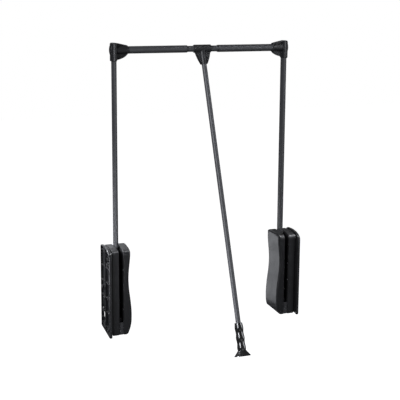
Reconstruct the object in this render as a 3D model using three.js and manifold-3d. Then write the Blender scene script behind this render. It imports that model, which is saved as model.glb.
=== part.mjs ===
// Pull down closet rod: a rail on two sprung arms that swing forward and down out of a wardrobe.
// Millimetres, +Z up, the front towards -Y, X across the wardrobe.
// The origin lies where the arms' swing axis meets the outer face of the left wall plate.
// The pieces of a side are drawn for the left, X counting inwards from the wall, and mirrored for the right.

import * as THREE from 'three';
import { mergeVertices } from 'three/addons/utils/BufferGeometryUtils.js';
import Module from 'manifold-3d';

const wasm = await Module();
wasm.setup();

// The whole lift
const overallWidth = 600; // between the wall faces, at the narrowest setting
const railHeight = 728; // swing axis up to the rail's axis
const armCentre = 39.5; // wall face to the middle of the arm
const swingAngle = THREE.MathUtils.degToRad(102); // how far the arms come forward and down
const railTravel = 115; // how far each outer rail tube slides out
const restTilt = THREE.MathUtils.degToRad(19.65); // the pull rod's lean to the front at rest
const seatGap = 0.3; // between pieces that seat on or turn in each other
const slideGap = 0.2; // on each face of a rail bush
const overrun = 2; // how far a cutting solid passes what it cuts

// Arm tube, a flat oval
const armThickness = 11;
const armDepth = 28;
const armWall = 1.2;
const armFoot = 30; // swing axis up to the tube's lower end
const armRiseInConnector = 12; // rail axis up to the tube's upper end

// Rail tubes
const outerRailRadius = 10.2;
const outerRailWall = 0.8;
const innerRailRadius = 8.4;
const innerRailWall = 1.2;
const railExposure = 49.2; // middle of the tee to the mouth of an outer tube
const railOverlap = 40; // what stays in each outer tube when the rail is drawn out fully
const teeOffset = 1.5; // the tee sits this far right of the middle
const bushLength = 15;
const bushLip = 2.5;
const bushLipTaper = 0.8;

// Outline of the wall plate, seen from the side
const plateFront = 59; // swing axis to the front edge
const plateFoot = 72; // swing axis down to the lowest corner
const plateFootRise = 19.5; // the foot edge climbs this much towards the back
const plateTop = 185; // swing axis up to the top of the back edge
const plateTopFall = 14; // the top edge falls this much towards the front
const plateTopCrown = 3;
const plateCorner = 4;
const plateTopCorner = 9;
const topControlShare = 0.38; // where along the depth, from the front, the top edge starts to fall
const topSlopeShare = 0.5;

// Wall plate
const plateThickness = 8;
const plateFloor = 2;
const plateRim = 2.5;
const latticeRib = 1.8;
const latticePitch = 43;
const latticeUpright = 24; // swing axis forward to the upright rib
const pivotBossRadius = 7;
const wallHoleRadius = 2.6;
const wallBossRadius = 6;
const wallHolePlaces = [ // swing axis forward and up to each hole for a screw into the wall
  { forward: 42, up: 155 },
  { forward: 42, up: -50 },
  { forward: -9, up: 64 },
];
const windowWidth = 10; // window below the swing axis
const windowHeight = 18;
const windowSetBack = 7;
const windowDrop = 18;
const rearWindowWidth = 7;

// Casings
const shellWall = 2;
const plateLedge = 10.2; // the wall plate stands proud of the casing by this at the front
const plateFootLedge = 0.6; // and by this at the foot
const plateTopLedge = 1.5;
const casingTopFall = 9.2;
const casingTopCrown = 0;
const casingSlopeShare = 0.3;
const grooveWidth = 5;
const grooveDepth = 1.5;
const slotWidth = 13.6;
const coverWaist = 61.3; // wall face to the inner face's front edge at its waist
const coverBulge = 70; // and at its fullest
const coverFlare = 6; // the inner face stands out this much more at its back edge
const coverRound = 5;

// Chassis, folded from sheet steel
const sheet = 1.2;
const pivotRadius = 5;
const pivotHeadRadius = 8;
const pivotHeadHeight = 2.5;
const bracketHeight = 50; // swing axis up to the spring bracket's underside
const bracketThickness = 2.5;
const chassisScrewRadius = 2;
const chassisScrewPlaces = [ // swing axis forward and up to each screw
  { forward: 9, up: 35 },
  { forward: 9, up: -38 },
  { forward: 38, up: 138 },
];
const chassisScrewHeadRadius = 3.6;
const chassisScrewHeadHeight = 2.4;
const standoffRadius = 4.5;
const rivetRadius = 1.6;
const rivetHeadRadius = 3;
const rivetHeadHeight = 0.7;
const rivetBossDepth = 7;
const rivetBossHeight = 8;
const rivetSetForward = 42;
const outerRivetHeights = [38, 88];
const innerRivetHeights = [5.5, 120];

// Arm lever, crank pin and the pieces that the crank pulls down
const leverThickness = 10.4;
const hubRadius = 13;
const crankRadius = 24;
const crankEyeRadius = 8;
const crankPinRadius = 3;
const crankPinOverhang = 2;
const spigotLength = 45;
const yokeThickness = 3;
const yokeRim = 3.5;
const yokeSideClearance = 0.6;
const yokeHeightClearance = 1.4; // what the straight draw differs from the crank's arc
const drawRodRadius = 2.5;
const drawRodEnd = 7.2; // length of rod past the spring's top
const drawCentre = 20; // wall face to the draw rod
const springWireRadius = 1.2;
const springRadius = 7.6; // to the middle of the wire
const springLength = 100;
const springTurns = 13;
const springEndPitch = 3.2;
const seatRadius = 9;
const seatThickness = 2;
const seatNutRadius = 5;
const seatNutHeight = 4.5;

// Damper
const damperRadius = 4.5;
const damperWall = 1;
const damperFoot = 78; // swing axis up to the cylinder's lower end
const damperTop = 150;
const damperRodRadius = 1.75;
const damperRest = 1.5; // left under the piston with the arm down
const pistonHeight = 4;
const damperNeck = 5;
const damperStudRadius = 2;
const damperStudLength = 9;
const damperNutRadius = 4;
const damperNutHeight = 3;
const damperAir = 0.6; // between the cylinder and the chassis

// Stop block
const stopSetback = 2.5; // its face lies this far behind the casing's front
const stopDepth = 18.5;
const stopLeadDepth = 6; // the slope at the block's front top goes back this far
const stopLeadDrop = 7.5; // and its front edge is this much lower
const stopFootGap = 0.5;

// Corner connector, measured from where the arm's and the rail's axes cross
const capWall = 3.5; // round the arm tube, on the wall side
const capInnerWall = 2;
const capDepthWall = 3;
const capTop = 20;
const capFoot = 30;
const capRound = 3;
const capFluteRadius = 1.3;
const capFlutePitch = 10;
const capFluteTop = 14.5;
const socketReach = 39; // arm's axis to the socket's mouth
const socketRadius = 12;
const socketRimRadius = 12.8;
const socketRimWidth = 4;
const railSeat = 10; // arm's axis to the rail tube's end
const flangeThickness = 15;
const webThickness = 8;
const flangeRim = 2.6;
const flangeShoulder = 19; // height of the top flange beside the cap
const flangeShoulderReach = 4; // how far past the cap it stays that high
const webBellyRise = 7.5; // bend of the quarter round, up from the cap's foot
const webBellySetback = 8; // and back from the mouth
const bossProud = 2;
const bossHalfHeight = 13;
const bossDepth = 18;
const connectorScrewPitch = 12;
const connectorScrewRadius = 1.5;
const connectorScrewHeadRadius = 2.8;
const connectorScrewHeadHeight = 1.8;
const connectorScrewSink = 1.2;

// Tee connector, measured from the rail's axis along the pull rod
const teeLength = 52;
const teeRadius = 11.5;
const teeChamfer = 1.5;
const legShoulderHalf = 22.5;
const legShoulder = 8;
const legBelly = 17.5;
const legBellyDrop = 30;
const legFootHalf = 8.8;
const legFoot = 45;
const legFlange = 12;
const legWeb = 7;
const legRim = 2.4;
const legSocketRadius = 9.2;
const teeScrewDrop = 32;
const teeScrewRadius = 1.6;
const teeScrewHeadRadius = 3;
const teeScrewHeadHeight = 1.8;

// Pull rod and grip
const pullRodRadius = 7;
const pullRodTop = 13; // rail axis to the rod's upper end
const gripStart = 773; // rail axis to the grip's upper end
const gripPitch = 25; // from one finger swell to the next
const gripSwells = 3;
const gripFlare = 16; // height of the flared foot
const gripWaistRadius = 9.4;
const gripSwellRadius = 11.2;
const gripLobe = 0.7;
const gripLobes = 6;
const gripFootRadius = 23;
const gripFootRim = 1.6;
const gripBore = 62; // how far the rod reaches into the grip

// Facets
const discSteps = 6; // half the corners of a small round
const screwSides = 8; // corners of a screw or rivet
const nutSides = 6;
const tubeSteps = 12; // half the corners of a tube
const edgeSteps = 4; // steps along a curve of an outline
const springSteps = 7; // steps in a turn of the spring
const springSides = 5;
const gripSides = 18;
const gripSwellSteps = 5;
const gripFlareSteps = 4;
const coverSteps = 19;
const coverRoundSteps = 3;

// Sizes that follow from the ones above
const housingBack = armDepth / 2 + seatGap + sheet + seatGap + shellWall;
const slotOuter = armCentre - slotWidth / 2;
const slotInner = armCentre + slotWidth / 2;
const crankStart = (Math.PI - swingAngle) / 2; // crank's angle from upright at rest, leaning forward
const crankY = -crankRadius * Math.sin(crankStart);
const crankZ = crankRadius * Math.cos(crankStart);
const crankTravel = 2 * crankZ;
const drawY = (crankY - crankRadius) / 2; // the yokes stay midway between the crank's nearest and furthest
const yokeSlotHalf = (crankRadius + crankY) / 2 + crankPinRadius + yokeSideClearance;
const yokeSlotRadius = crankPinRadius + yokeHeightClearance;
const yokeTop = crankZ + yokeSlotRadius + yokeRim;
const springFoot = bracketHeight + bracketThickness + seatGap;
const springHead = springFoot + springLength;
const damperCentre = slotInner + sheet + damperAir + damperRadius;
const teeX = overallWidth / 2 + teeOffset;
const innerRailHalf = railExposure + railTravel + railOverlap;
const gripLength = gripSwells * gripPitch + gripFlare;

// Finishes
const blackPlastic = { color: 0x1c1d20, roughness: 0.55, metalness: 0 };
const glossPlastic = { color: 0x0c0c0e, roughness: 0.22, metalness: 0 };
const paintedTube = { color: 0x4a4b50, roughness: 0.42, metalness: 0.35 };
const darkSheet = { color: 0x141416, roughness: 0.5, metalness: 0.4 };
const brightSteel = { color: 0x9a9ca0, roughness: 0.32, metalness: 0.9 };
const coatedCasting = { color: 0x1d1e20, roughness: 0.55, metalness: 0.3 };
const blackSteel = { color: 0x161617, roughness: 0.4, metalness: 0.6 };
const stopRubber = { color: 0x242529, roughness: 0.8, metalness: 0 };

// Shapes, and solids made from them

function disc(radius, a = 0, b = 0) {
  const shape = new THREE.Shape();
  shape.absarc(a, b, radius, 0, 2 * Math.PI, false);
  return shape;
}

function oval(halfA, halfB) {
  const shape = new THREE.Shape();
  shape.absellipse(0, 0, halfA, halfB, 0, 2 * Math.PI, false);
  return shape;
}

function withHole(shape, hole) {
  shape.holes.push(hole);
  return shape;
}

function polygon(points) {
  return new THREE.Shape(points.map(([a, b]) => new THREE.Vector2(a, b)));
}

// A slot with round ends, its straight part along the first axis
function stadium(a, b, half, radius) {
  const shape = new THREE.Shape();
  const straight = half - radius;
  shape.absarc(a + straight, b, radius, -Math.PI / 2, Math.PI / 2, false);
  shape.absarc(a - straight, b, radius, Math.PI / 2, 1.5 * Math.PI, false);
  return shape;
}

function extruded(shape, length, steps) {
  return new THREE.ExtrudeGeometry(shape, { depth: length, bevelEnabled: false, curveSegments: steps });
}

// The shape's axes are Y and Z
function alongX(shape, from, to, steps = discSteps) {
  const geometry = extruded(shape, to - from, steps);
  geometry.applyMatrix4(new THREE.Matrix4().set(0, 0, 1, 0, 1, 0, 0, 0, 0, 1, 0, 0, 0, 0, 0, 1));
  return geometry.translate(from, 0, 0);
}

// The shape's axes are X and Z
function alongY(shape, from, to, steps = discSteps) {
  return extruded(shape, to - from, steps).rotateX(Math.PI / 2).translate(0, to, 0);
}

// The shape's axes are X and Y
function alongZ(shape, from, to, steps = discSteps) {
  return extruded(shape, to - from, steps).translate(0, 0, from);
}

function block(x, y, z) {
  const geometry = new THREE.BoxGeometry(x[1] - x[0], y[1] - y[0], z[1] - z[0]);
  return geometry.translate((x[0] + x[1]) / 2, (y[0] + y[1]) / 2, (z[0] + z[1]) / 2);
}

// A turned piece: pairs of radius and place along the axis, up the outside
function turnedX(profile, steps = 2 * discSteps) {
  return turned(profile, steps).rotateZ(-Math.PI / 2);
}

function turnedZ(profile, steps = 2 * discSteps) {
  return turned(profile, steps).rotateX(Math.PI / 2);
}

function turned(profile, steps) {
  return new THREE.LatheGeometry(profile.map(([radius, place]) => new THREE.Vector2(radius, place)), steps);
}

// A skin over rings of points, each ring counterclockwise seen from the end that the rings run to
function loft(rings) {
  const count = rings[0].length;
  const positions = rings.flat().flatMap((point) => [point.x, point.y, point.z]);
  const index = [];
  for (let ring = 0; ring < rings.length - 1; ring += 1) {
    for (let corner = 0; corner < count; corner += 1) {
      const a = ring * count + corner;
      const b = ring * count + (corner + 1) % count;
      index.push(a, b, b + count, a, b + count, a + count);
    }
  }
  const last = (rings.length - 1) * count;
  for (let corner = 1; corner < count - 1; corner += 1) {
    index.push(0, corner + 1, corner);
    index.push(last, last + corner, last + corner + 1);
  }
  const geometry = new THREE.BufferGeometry();
  geometry.setAttribute('position', new THREE.Float32BufferAttribute(positions, 3));
  geometry.setIndex(index);
  return geometry;
}

// The same surface with its shared corners joined and without triangles that have no area
function joined(geometry) {
  const bare = geometry.clone();
  bare.deleteAttribute('normal');
  bare.deleteAttribute('uv');
  const merged = mergeVertices(bare);
  const kept = [];
  for (let i = 0; i < merged.index.count; i += 3) {
    const [a, b, c] = [merged.index.getX(i), merged.index.getX(i + 1), merged.index.getX(i + 2)];
    if (a !== b && b !== c && c !== a) {
      kept.push(a, b, c);
    }
  }
  merged.setIndex(kept);
  return merged;
}

function solid(geometry) {
  const merged = joined(geometry);
  const vertProperties = new Float32Array(merged.attributes.position.array);
  const triVerts = new Uint32Array(merged.index.array);
  return new wasm.Manifold(new wasm.Mesh({ numProp: 3, vertProperties, triVerts }));
}

function surfaceOf(body) {
  const mesh = body.getMesh();
  const geometry = new THREE.BufferGeometry();
  geometry.setAttribute('position', new THREE.BufferAttribute(new Float32Array(mesh.vertProperties), 3));
  geometry.setIndex(new THREE.BufferAttribute(new Uint32Array(mesh.triVerts), 1));
  return geometry;
}

function union(geometries) {
  return geometries.map(solid).reduce((whole, next) => whole.add(next));
}

function cut(body, geometries) {
  return geometries.map(solid).reduce((whole, next) => whole.subtract(next), body);
}

function mirrored(geometry) {
  const copy = joined(geometry).scale(-1, 1, 1);
  for (let i = 0; i < copy.index.count; i += 3) {
    const first = copy.index.getX(i);
    copy.index.setX(i, copy.index.getX(i + 1));
    copy.index.setX(i + 1, first);
  }
  return copy;
}

// Height of the wall plate's foot edge
function footLine(y) {
  return -plateFoot + (y + plateFront) * plateFootRise / (plateFront + housingBack);
}

// How the top edges of the wall plate and of the casings run down to the front
const plateCrest = { fall: plateTopFall, crown: plateTopCrown, slope: topSlopeShare };
const casingCrest = { fall: casingTopFall, crown: casingTopCrown, slope: casingSlopeShare };

// The side's outline, kept inside the wall plate's own by these distances
function sideOutline(front, foot, top, back, crest) {
  const yFront = -plateFront + front;
  const yBack = housingBack - back;
  const zTop = plateTop - top;
  const zFrontTop = zTop - crest.fall;
  const footAt = (y) => footLine(y) + foot;
  const shape = new THREE.Shape();
  shape.moveTo(yFront, footAt(yFront) + plateCorner);
  shape.quadraticCurveTo(yFront, footAt(yFront), yFront + plateCorner, footAt(yFront + plateCorner));
  shape.lineTo(yBack - plateCorner, footAt(yBack - plateCorner));
  shape.quadraticCurveTo(yBack, footAt(yBack), yBack, footAt(yBack) + plateCorner);
  shape.lineTo(yBack, zTop - plateCorner);
  shape.quadraticCurveTo(yBack, zTop, yBack - plateCorner, zTop);
  const bend = yFront + (yBack - yFront) * topControlShare;
  const shoulder = zFrontTop + plateTopCorner * crest.slope;
  shape.quadraticCurveTo(bend, zTop + crest.crown, yFront + plateTopCorner, shoulder);
  shape.quadraticCurveTo(yFront, zFrontTop, yFront, zFrontTop - plateTopCorner);
  shape.closePath();
  return shape;
}

function casingOutline(inset) {
  return sideOutline(plateLedge + inset, plateFootLedge + inset, plateTopLedge + inset, inset, casingCrest);
}

// Wall plate: a moulded tray whose lattice of ribs lies on the wardrobe's wall, with standoffs behind it
function wallPlate() {
  const ribDepth = plateThickness - plateFloor;
  const outline = solid(alongX(sideOutline(0, 0, 0, 0, plateCrest), 0, plateThickness, edgeSteps));
  const pocketOutline = sideOutline(plateRim, plateRim, plateRim, plateRim, plateCrest);
  const tray = cut(outline, [alongX(pocketOutline, -overrun, ribDepth, edgeSteps)]);
  const ribs = [];
  const lowest = -Math.floor(plateFoot / latticePitch);
  const highest = Math.floor(plateTop / latticePitch);
  for (let level = lowest; level <= highest; level += 1) {
    const height = level * latticePitch;
    ribs.push(block([0, ribDepth + seatGap], [-plateFront, housingBack],
      [height - latticeRib / 2, height + latticeRib / 2]));
  }
  const uprightY = [-latticeUpright - latticeRib / 2, -latticeUpright + latticeRib / 2];
  ribs.push(block([0, ribDepth + seatGap], uprightY, [-plateFoot, plateTop]));
  ribs.push(alongX(disc(pivotBossRadius), 0, ribDepth + seatGap));
  wallHolePlaces.forEach(({ forward, up }) => {
    ribs.push(alongX(disc(wallBossRadius, -forward, up), 0, ribDepth + seatGap));
  });
  chassisScrewPlaces.forEach(({ forward, up }) => {
    ribs.push(alongX(disc(chassisScrewHeadRadius + plateRim, -forward, up), 0, ribDepth + seatGap));
  });
  const standoffs = chassisScrewPlaces.map(({ forward, up }) => {
    return alongX(disc(standoffRadius, -forward, up), ribDepth, slotOuter - sheet - seatGap);
  });
  const body = tray.add(union(ribs).intersect(outline)).add(union(standoffs));
  const openings = [];
  wallHolePlaces.forEach(({ forward, up }) => {
    openings.push(alongX(disc(wallHoleRadius, -forward, up), -overrun, plateThickness + overrun));
  });
  chassisScrewPlaces.forEach(({ forward, up }) => {
    openings.push(alongX(disc(chassisScrewRadius + seatGap, -forward, up), -overrun, slotOuter));
    openings.push(alongX(disc(chassisScrewHeadRadius + seatGap, -forward, up), -overrun, ribDepth - seatGap));
  });
  openings.push(alongX(stadium(0, 0, windowHeight / 2, windowWidth / 2), -overrun, plateThickness + overrun)
    .rotateX(Math.PI / 2).translate(0, windowSetBack, -windowDrop));
  return surfaceOf(cut(body, openings));
}

// Outer shell: the casing between the wall plate and the arm slot, with a shadow groove beside the plate
function outerShell() {
  const start = plateThickness + seatGap;
  const grooveEnd = start + grooveWidth;
  const groove = withHole(casingOutline(grooveDepth), casingOutline(grooveDepth + shellWall));
  const wall = withHole(casingOutline(0), casingOutline(shellWall));
  const body = union([alongX(groove, start, grooveEnd + grooveDepth, edgeSteps),
    alongX(wall, grooveEnd, slotOuter, edgeSteps)]);
  const bossStart = slotOuter - sheet - seatGap - rivetBossDepth;
  const bosses = outerRivetHeights.map((z) => block([bossStart, slotOuter - sheet - seatGap],
    [-plateFront + plateLedge + shellWall / 2, -rivetSetForward + rivetBossHeight / 2],
    [z - rivetBossHeight / 2, z + rivetBossHeight / 2]));
  const openings = outerRivetHeights.map((z) => {
    return alongX(disc(rivetRadius + seatGap, -rivetSetForward, z), bossStart + shellWall, slotOuter);
  });
  openings.push(block([start - overrun, start + rearWindowWidth],
    [housingBack - 2 * shellWall - grooveDepth, housingBack + overrun],
    [-windowDrop - windowHeight, -windowDrop + windowHeight / 2]));
  return surfaceOf(cut(body.add(union(bosses)), openings));
}

// Chassis: a steel channel, open at the front, whose two sides line the arm slot
function chassis() {
  const outline = alongX(casingOutline(shellWall + seatGap), slotOuter - sheet, slotInner + sheet, edgeSteps);
  const channelBack = armDepth / 2 + seatGap;
  let body = cut(solid(outline), [block([slotOuter, slotInner], [-plateFront - overrun, channelBack],
    [-plateFoot - overrun, plateTop + plateTopCrown + overrun])]);
  const bracketY = [drawY - seatRadius, drawY + seatRadius];
  body = body.add(solid(block([drawCentre - seatRadius, slotOuter - sheet / 2], bracketY,
    [bracketHeight, bracketHeight + bracketThickness])));
  const hangerTop = damperTop + seatGap + sheet;
  body = body.add(solid(block([slotInner + sheet / 2, damperCentre + damperRadius],
    [drawY - damperRadius, drawY + damperRadius], [hangerTop - sheet, hangerTop])));
  const through = [slotOuter - sheet - overrun, slotInner + sheet + overrun];
  const pinReach = crankPinRadius + yokeSideClearance;
  const sweepPast = pinReach / crankRadius;
  const window = new THREE.Shape();
  const sweepStart = Math.PI / 2 + crankStart - sweepPast;
  const sweepEnd = Math.PI / 2 + crankStart + swingAngle + sweepPast;
  window.absarc(0, 0, crankRadius + pinReach, sweepStart, sweepEnd, false);
  window.absarc(0, 0, crankRadius - pinReach, sweepEnd, sweepStart, true);
  const openings = [
    alongX(window, through[0], through[1]),
    alongX(disc(pivotRadius + seatGap), through[0], through[1]),
    alongZ(disc(drawRodRadius + seatGap, drawCentre, drawY), bracketHeight - overrun, springFoot + overrun),
    alongZ(disc(damperStudRadius + seatGap, damperCentre, drawY), damperTop - overrun, hangerTop + overrun),
  ];
  chassisScrewPlaces.forEach(({ forward, up }) => {
    openings.push(alongX(disc(chassisScrewRadius + seatGap, -forward, up), through[0], armCentre));
  });
  outerRivetHeights.forEach((z) => {
    openings.push(alongX(disc(rivetRadius + seatGap, -rivetSetForward, z), through[0], armCentre));
  });
  innerRivetHeights.forEach((z) => {
    openings.push(alongX(disc(rivetRadius + seatGap, -rivetSetForward, z), armCentre, through[1]));
  });
  return surfaceOf(cut(body, openings));
}

// How far the inner cover's face stands from the wall, from its foot to its top:
// shares of the plate's height, and of the way from the waist to the bulge
const coverFaceShares = [
  [-0.05, -0.8], [0, -0.35], [0.031, -0.08], [0.058, 0.2], [0.0856, 0.52], [0.144, 0.89], [0.22, 1],
  [0.29, 0.96], [0.36, 0.78], [0.436, 0.52], [0.52, 0.2], [0.64, 0], [0.74, 0.14], [0.82, 0.4],
  [0.89, 0.6], [0.96, 0.64], [1.05, 0.6],
];

function coverSections(inset, slotSide) {
  const height = plateFoot + plateTop;
  const face = new THREE.SplineCurve(coverFaceShares.map(([up, out]) => {
    return new THREE.Vector2(-plateFoot + up * height, coverWaist + out * (coverBulge - coverWaist));
  }));
  const yFront = -plateFront + plateLedge + inset;
  const yBack = housingBack - inset;
  const round = coverRound - inset / 2;
  return face.getPoints(coverSteps).map(({ x: z, y: reach }) => {
    const x = reach - inset;
    const section = new THREE.Shape();
    section.moveTo(slotSide, yFront);
    section.lineTo(x - round, yFront);
    section.quadraticCurveTo(x, yFront, x, yFront + round);
    section.lineTo(x + coverFlare, yBack - round);
    section.quadraticCurveTo(x + coverFlare, yBack, x + coverFlare - round, yBack);
    section.lineTo(slotSide, yBack);
    return section.getPoints(coverRoundSteps).map((point) => new THREE.Vector3(point.x, point.y, z));
  });
}

// Inner cover: the moulded casing whose waisted face looks into the wardrobe
function innerCover() {
  const outside = solid(loft(coverSections(0, slotInner)));
  const inside = solid(loft(coverSections(shellWall, slotInner - overrun)));
  const reach = [slotInner - 2 * overrun, 2 * coverBulge];
  const outer = outside.intersect(solid(alongX(casingOutline(0), reach[0], reach[1], edgeSteps)));
  const inner = inside.intersect(solid(alongX(casingOutline(shellWall), reach[0], reach[1], edgeSteps)));
  const bossFace = slotInner + sheet + seatGap;
  const bosses = innerRivetHeights.map((z) => block([bossFace, bossFace + rivetBossDepth],
    [-plateFront + plateLedge + shellWall / 2, -rivetSetForward + rivetBossHeight / 2],
    [z - rivetBossHeight / 2, z + rivetBossHeight / 2]));
  const holeEnd = bossFace + rivetBossDepth - shellWall;
  const openings = innerRivetHeights.map((z) => {
    return alongX(disc(rivetRadius + seatGap, -rivetSetForward, z), slotInner, holeEnd);
  });
  return surfaceOf(cut(outer.subtract(inner).add(union(bosses)), openings));
}

// Stop block: rubber between the chassis sides, its top sloped as the arm lies when it is down
function stopBlock() {
  const drop = swingAngle - Math.PI / 2;
  const armUnder = (y) => y * Math.tan(drop) - armDepth / 2 / Math.cos(drop) - seatGap;
  const front = -plateFront + plateLedge + stopSetback;
  const back = front + stopDepth;
  const footAt = (y) => footLine(y) + plateFootLedge + stopFootGap;
  const lead = front + stopLeadDepth;
  const shape = polygon([[front, footAt(front)], [back, footAt(back)],
    [back, armUnder(back)], [lead, armUnder(lead)], [front, armUnder(front) - stopLeadDrop]]);
  return alongX(shape, slotOuter + seatGap, slotInner - seatGap);
}

// Pivot pin: riveted over on both sides of the chassis
function pivotPin() {
  const outerFace = slotOuter - sheet - seatGap;
  const innerFace = slotInner + sheet + seatGap;
  return turnedX([[0, outerFace - pivotHeadHeight], [pivotHeadRadius, outerFace - pivotHeadHeight],
    [pivotHeadRadius, outerFace], [pivotRadius, outerFace], [pivotRadius, innerFace],
    [pivotHeadRadius, innerFace], [pivotHeadRadius, innerFace + pivotHeadHeight],
    [0, innerFace + pivotHeadHeight]]);
}

function chassisScrews() {
  const headFace = plateThickness - plateFloor - seatGap;
  return chassisScrewPlaces.map(({ forward, up }) => turnedX([[0, headFace - chassisScrewHeadHeight],
    [chassisScrewHeadRadius, headFace - chassisScrewHeadHeight], [chassisScrewHeadRadius, headFace - seatGap],
    [chassisScrewRadius, headFace - seatGap], [chassisScrewRadius, slotOuter - seatGap],
    [0, slotOuter - seatGap]], screwSides).translate(0, -forward, up));
}

// Rivets that hold the chassis sides to the casings, their heads in the slot
function chassisRivets() {
  const depth = rivetBossDepth - shellWall - seatGap;
  const outer = slotOuter + seatGap;
  const inner = slotInner - seatGap;
  const rivets = outerRivetHeights.map((z) => turnedX([[0, outer - sheet - 2 * seatGap - depth],
    [rivetRadius, outer - sheet - 2 * seatGap - depth], [rivetRadius, outer], [rivetHeadRadius, outer],
    [rivetRadius, outer + rivetHeadHeight], [0, outer + rivetHeadHeight]], screwSides)
    .translate(0, -rivetSetForward, z));
  innerRivetHeights.forEach((z) => {
    rivets.push(turnedX([[0, inner - rivetHeadHeight], [rivetRadius, inner - rivetHeadHeight],
      [rivetHeadRadius, inner], [rivetRadius, inner], [rivetRadius, inner + sheet + 2 * seatGap + depth],
      [0, inner + sheet + 2 * seatGap + depth]], screwSides).translate(0, -rivetSetForward, z));
  });
  return rivets;
}

// Arm lever: hub, crank and the spigot inside the arm tube, cast in one
function armLever() {
  const sides = [armCentre - leverThickness / 2, armCentre + leverThickness / 2];
  const along = Math.atan2(crankZ, crankY);
  const spread = Math.acos((hubRadius - crankEyeRadius) / crankRadius);
  const crank = new THREE.Shape();
  crank.absarc(0, 0, hubRadius, along + spread, along - spread + 2 * Math.PI, false);
  crank.absarc(crankY, crankZ, crankEyeRadius, along - spread, along + spread, false);
  const shoulder = armFoot - seatGap;
  const neck = polygon([[-hubRadius, 0], [hubRadius, 0],
    [armDepth / 2, shoulder], [-armDepth / 2, shoulder]]);
  const spigot = oval(armThickness / 2 - armWall - seatGap, armDepth / 2 - armWall - seatGap);
  const body = union([
    alongX(crank, sides[0], sides[1], tubeSteps),
    alongX(neck, sides[0], sides[1]),
    alongZ(spigot, shoulder - overrun, shoulder + spigotLength, tubeSteps).translate(armCentre, 0, 0),
  ]);
  return surfaceOf(cut(body, [
    alongX(disc(pivotRadius + seatGap), sides[0] - overrun, sides[1] + overrun),
    alongX(disc(crankPinRadius + seatGap, crankY, crankZ), sides[0] - overrun, sides[1] + overrun),
  ]));
}

function crankPin() {
  const from = drawCentre - yokeThickness / 2 - crankPinOverhang;
  const to = damperCentre + yokeThickness / 2 + crankPinOverhang;
  return turnedX([[0, from], [crankPinRadius, from], [crankPinRadius, to], [0, to]])
    .translate(0, crankY, crankZ);
}

// A yoke lets the crank pin run fore and aft while it is pulled straight down
function yoke(centre) {
  const outline = stadium(drawY, crankZ, yokeSlotHalf + yokeRim, yokeSlotRadius + yokeRim);
  const shape = withHole(outline, stadium(drawY, crankZ, yokeSlotHalf, yokeSlotRadius));
  return alongX(shape, centre - yokeThickness / 2, centre + yokeThickness / 2);
}

function drawRod() {
  const rod = alongZ(disc(drawRodRadius, drawCentre, drawY), yokeTop - yokeRim / 2,
    springHead + drawRodEnd);
  return surfaceOf(union([yoke(drawCentre), rod]));
}

// Spring seat: a washer with its nut, on the draw rod's top
function springSeat() {
  const bore = drawRodRadius + seatGap;
  const washerFoot = springHead + seatGap;
  const washerTop = washerFoot + seatThickness;
  return turnedZ([[bore, washerFoot], [seatRadius, washerFoot], [seatRadius, washerTop],
    [seatNutRadius, washerTop], [seatNutRadius, washerTop + seatNutHeight], [bore, washerTop + seatNutHeight],
    [bore, washerFoot]]).translate(drawCentre, drawY, 0);
}

// Return spring: one wire wound round the draw rod, its first and last turns drawn in
function returnSpring() {
  const middlePitch = (springLength - 2 * springWireRadius - 2 * springEndPitch) / (springTurns - 2);
  const heightAt = (turn) => {
    const first = Math.min(turn, 1) * springEndPitch;
    const last = Math.max(turn - springTurns + 1, 0) * springEndPitch;
    return first + last + THREE.MathUtils.clamp(turn - 1, 0, springTurns - 2) * middlePitch;
  };
  const centres = [];
  const rings = [];
  for (let step = 0; step <= springTurns * springSteps; step += 1) {
    const angle = 2 * Math.PI * step / springSteps;
    const radial = new THREE.Vector3(Math.cos(angle), Math.sin(angle), 0);
    const height = springFoot + springWireRadius + heightAt(step / springSteps);
    const centre = new THREE.Vector3(drawCentre, drawY, height).addScaledVector(radial, springRadius);
    centres.push(centre);
    const ring = [];
    for (let side = 0; side < springSides; side += 1) {
      const turn = 2 * Math.PI * side / springSides;
      const point = centre.clone().addScaledVector(radial, springWireRadius * Math.cos(turn));
      point.z -= springWireRadius * Math.sin(turn);
      ring.push(point);
    }
    rings.push(ring);
  }
  reportLeastGap(centres);
  return loft(rings);
}

function reportLeastGap(centres) {
  let least = Infinity;
  centres.forEach((centre, i) => {
    for (let j = i + Math.floor(springSteps / 2); j < centres.length; j += 1) {
      least = Math.min(least, centre.distanceTo(centres[j]) - 2 * springWireRadius);
    }
  });
  console.log(`return spring: least gap between its turns ${least.toFixed(2)} mm`);
}

// Damper: a cylinder hung from the chassis, whose rod the crank pulls out
function damperCylinder() {
  const bore = damperRadius - damperWall;
  const neckBore = damperRodRadius + seatGap;
  return turnedZ([[neckBore, damperFoot], [damperRadius, damperFoot], [damperRadius, damperTop],
    [damperStudRadius, damperTop], [damperStudRadius, damperTop + damperStudLength],
    [0, damperTop + damperStudLength], [0, damperTop - damperNeck], [bore, damperTop - damperNeck],
    [bore, damperFoot + damperNeck], [neckBore, damperFoot + damperNeck], [neckBore, damperFoot]])
    .translate(damperCentre, drawY, 0);
}

function damperRod() {
  const top = damperFoot + damperNeck + damperRest + crankTravel + pistonHeight;
  const piston = damperRadius - damperWall - seatGap;
  const rod = turnedZ([[0, yokeTop - yokeRim / 2], [damperRodRadius, yokeTop - yokeRim / 2],
    [damperRodRadius, top - pistonHeight], [piston, top - pistonHeight], [piston, top], [0, top]])
    .translate(damperCentre, drawY, 0);
  return surfaceOf(union([yoke(damperCentre), rod]));
}

function damperNut() {
  const foot = damperTop + sheet + 2 * seatGap;
  const bore = damperStudRadius + seatGap;
  return turnedZ([[bore, foot], [damperNutRadius, foot], [damperNutRadius, foot + damperNutHeight],
    [bore, foot + damperNutHeight], [bore, foot]], nutSides).translate(damperCentre, drawY, 0);
}

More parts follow.
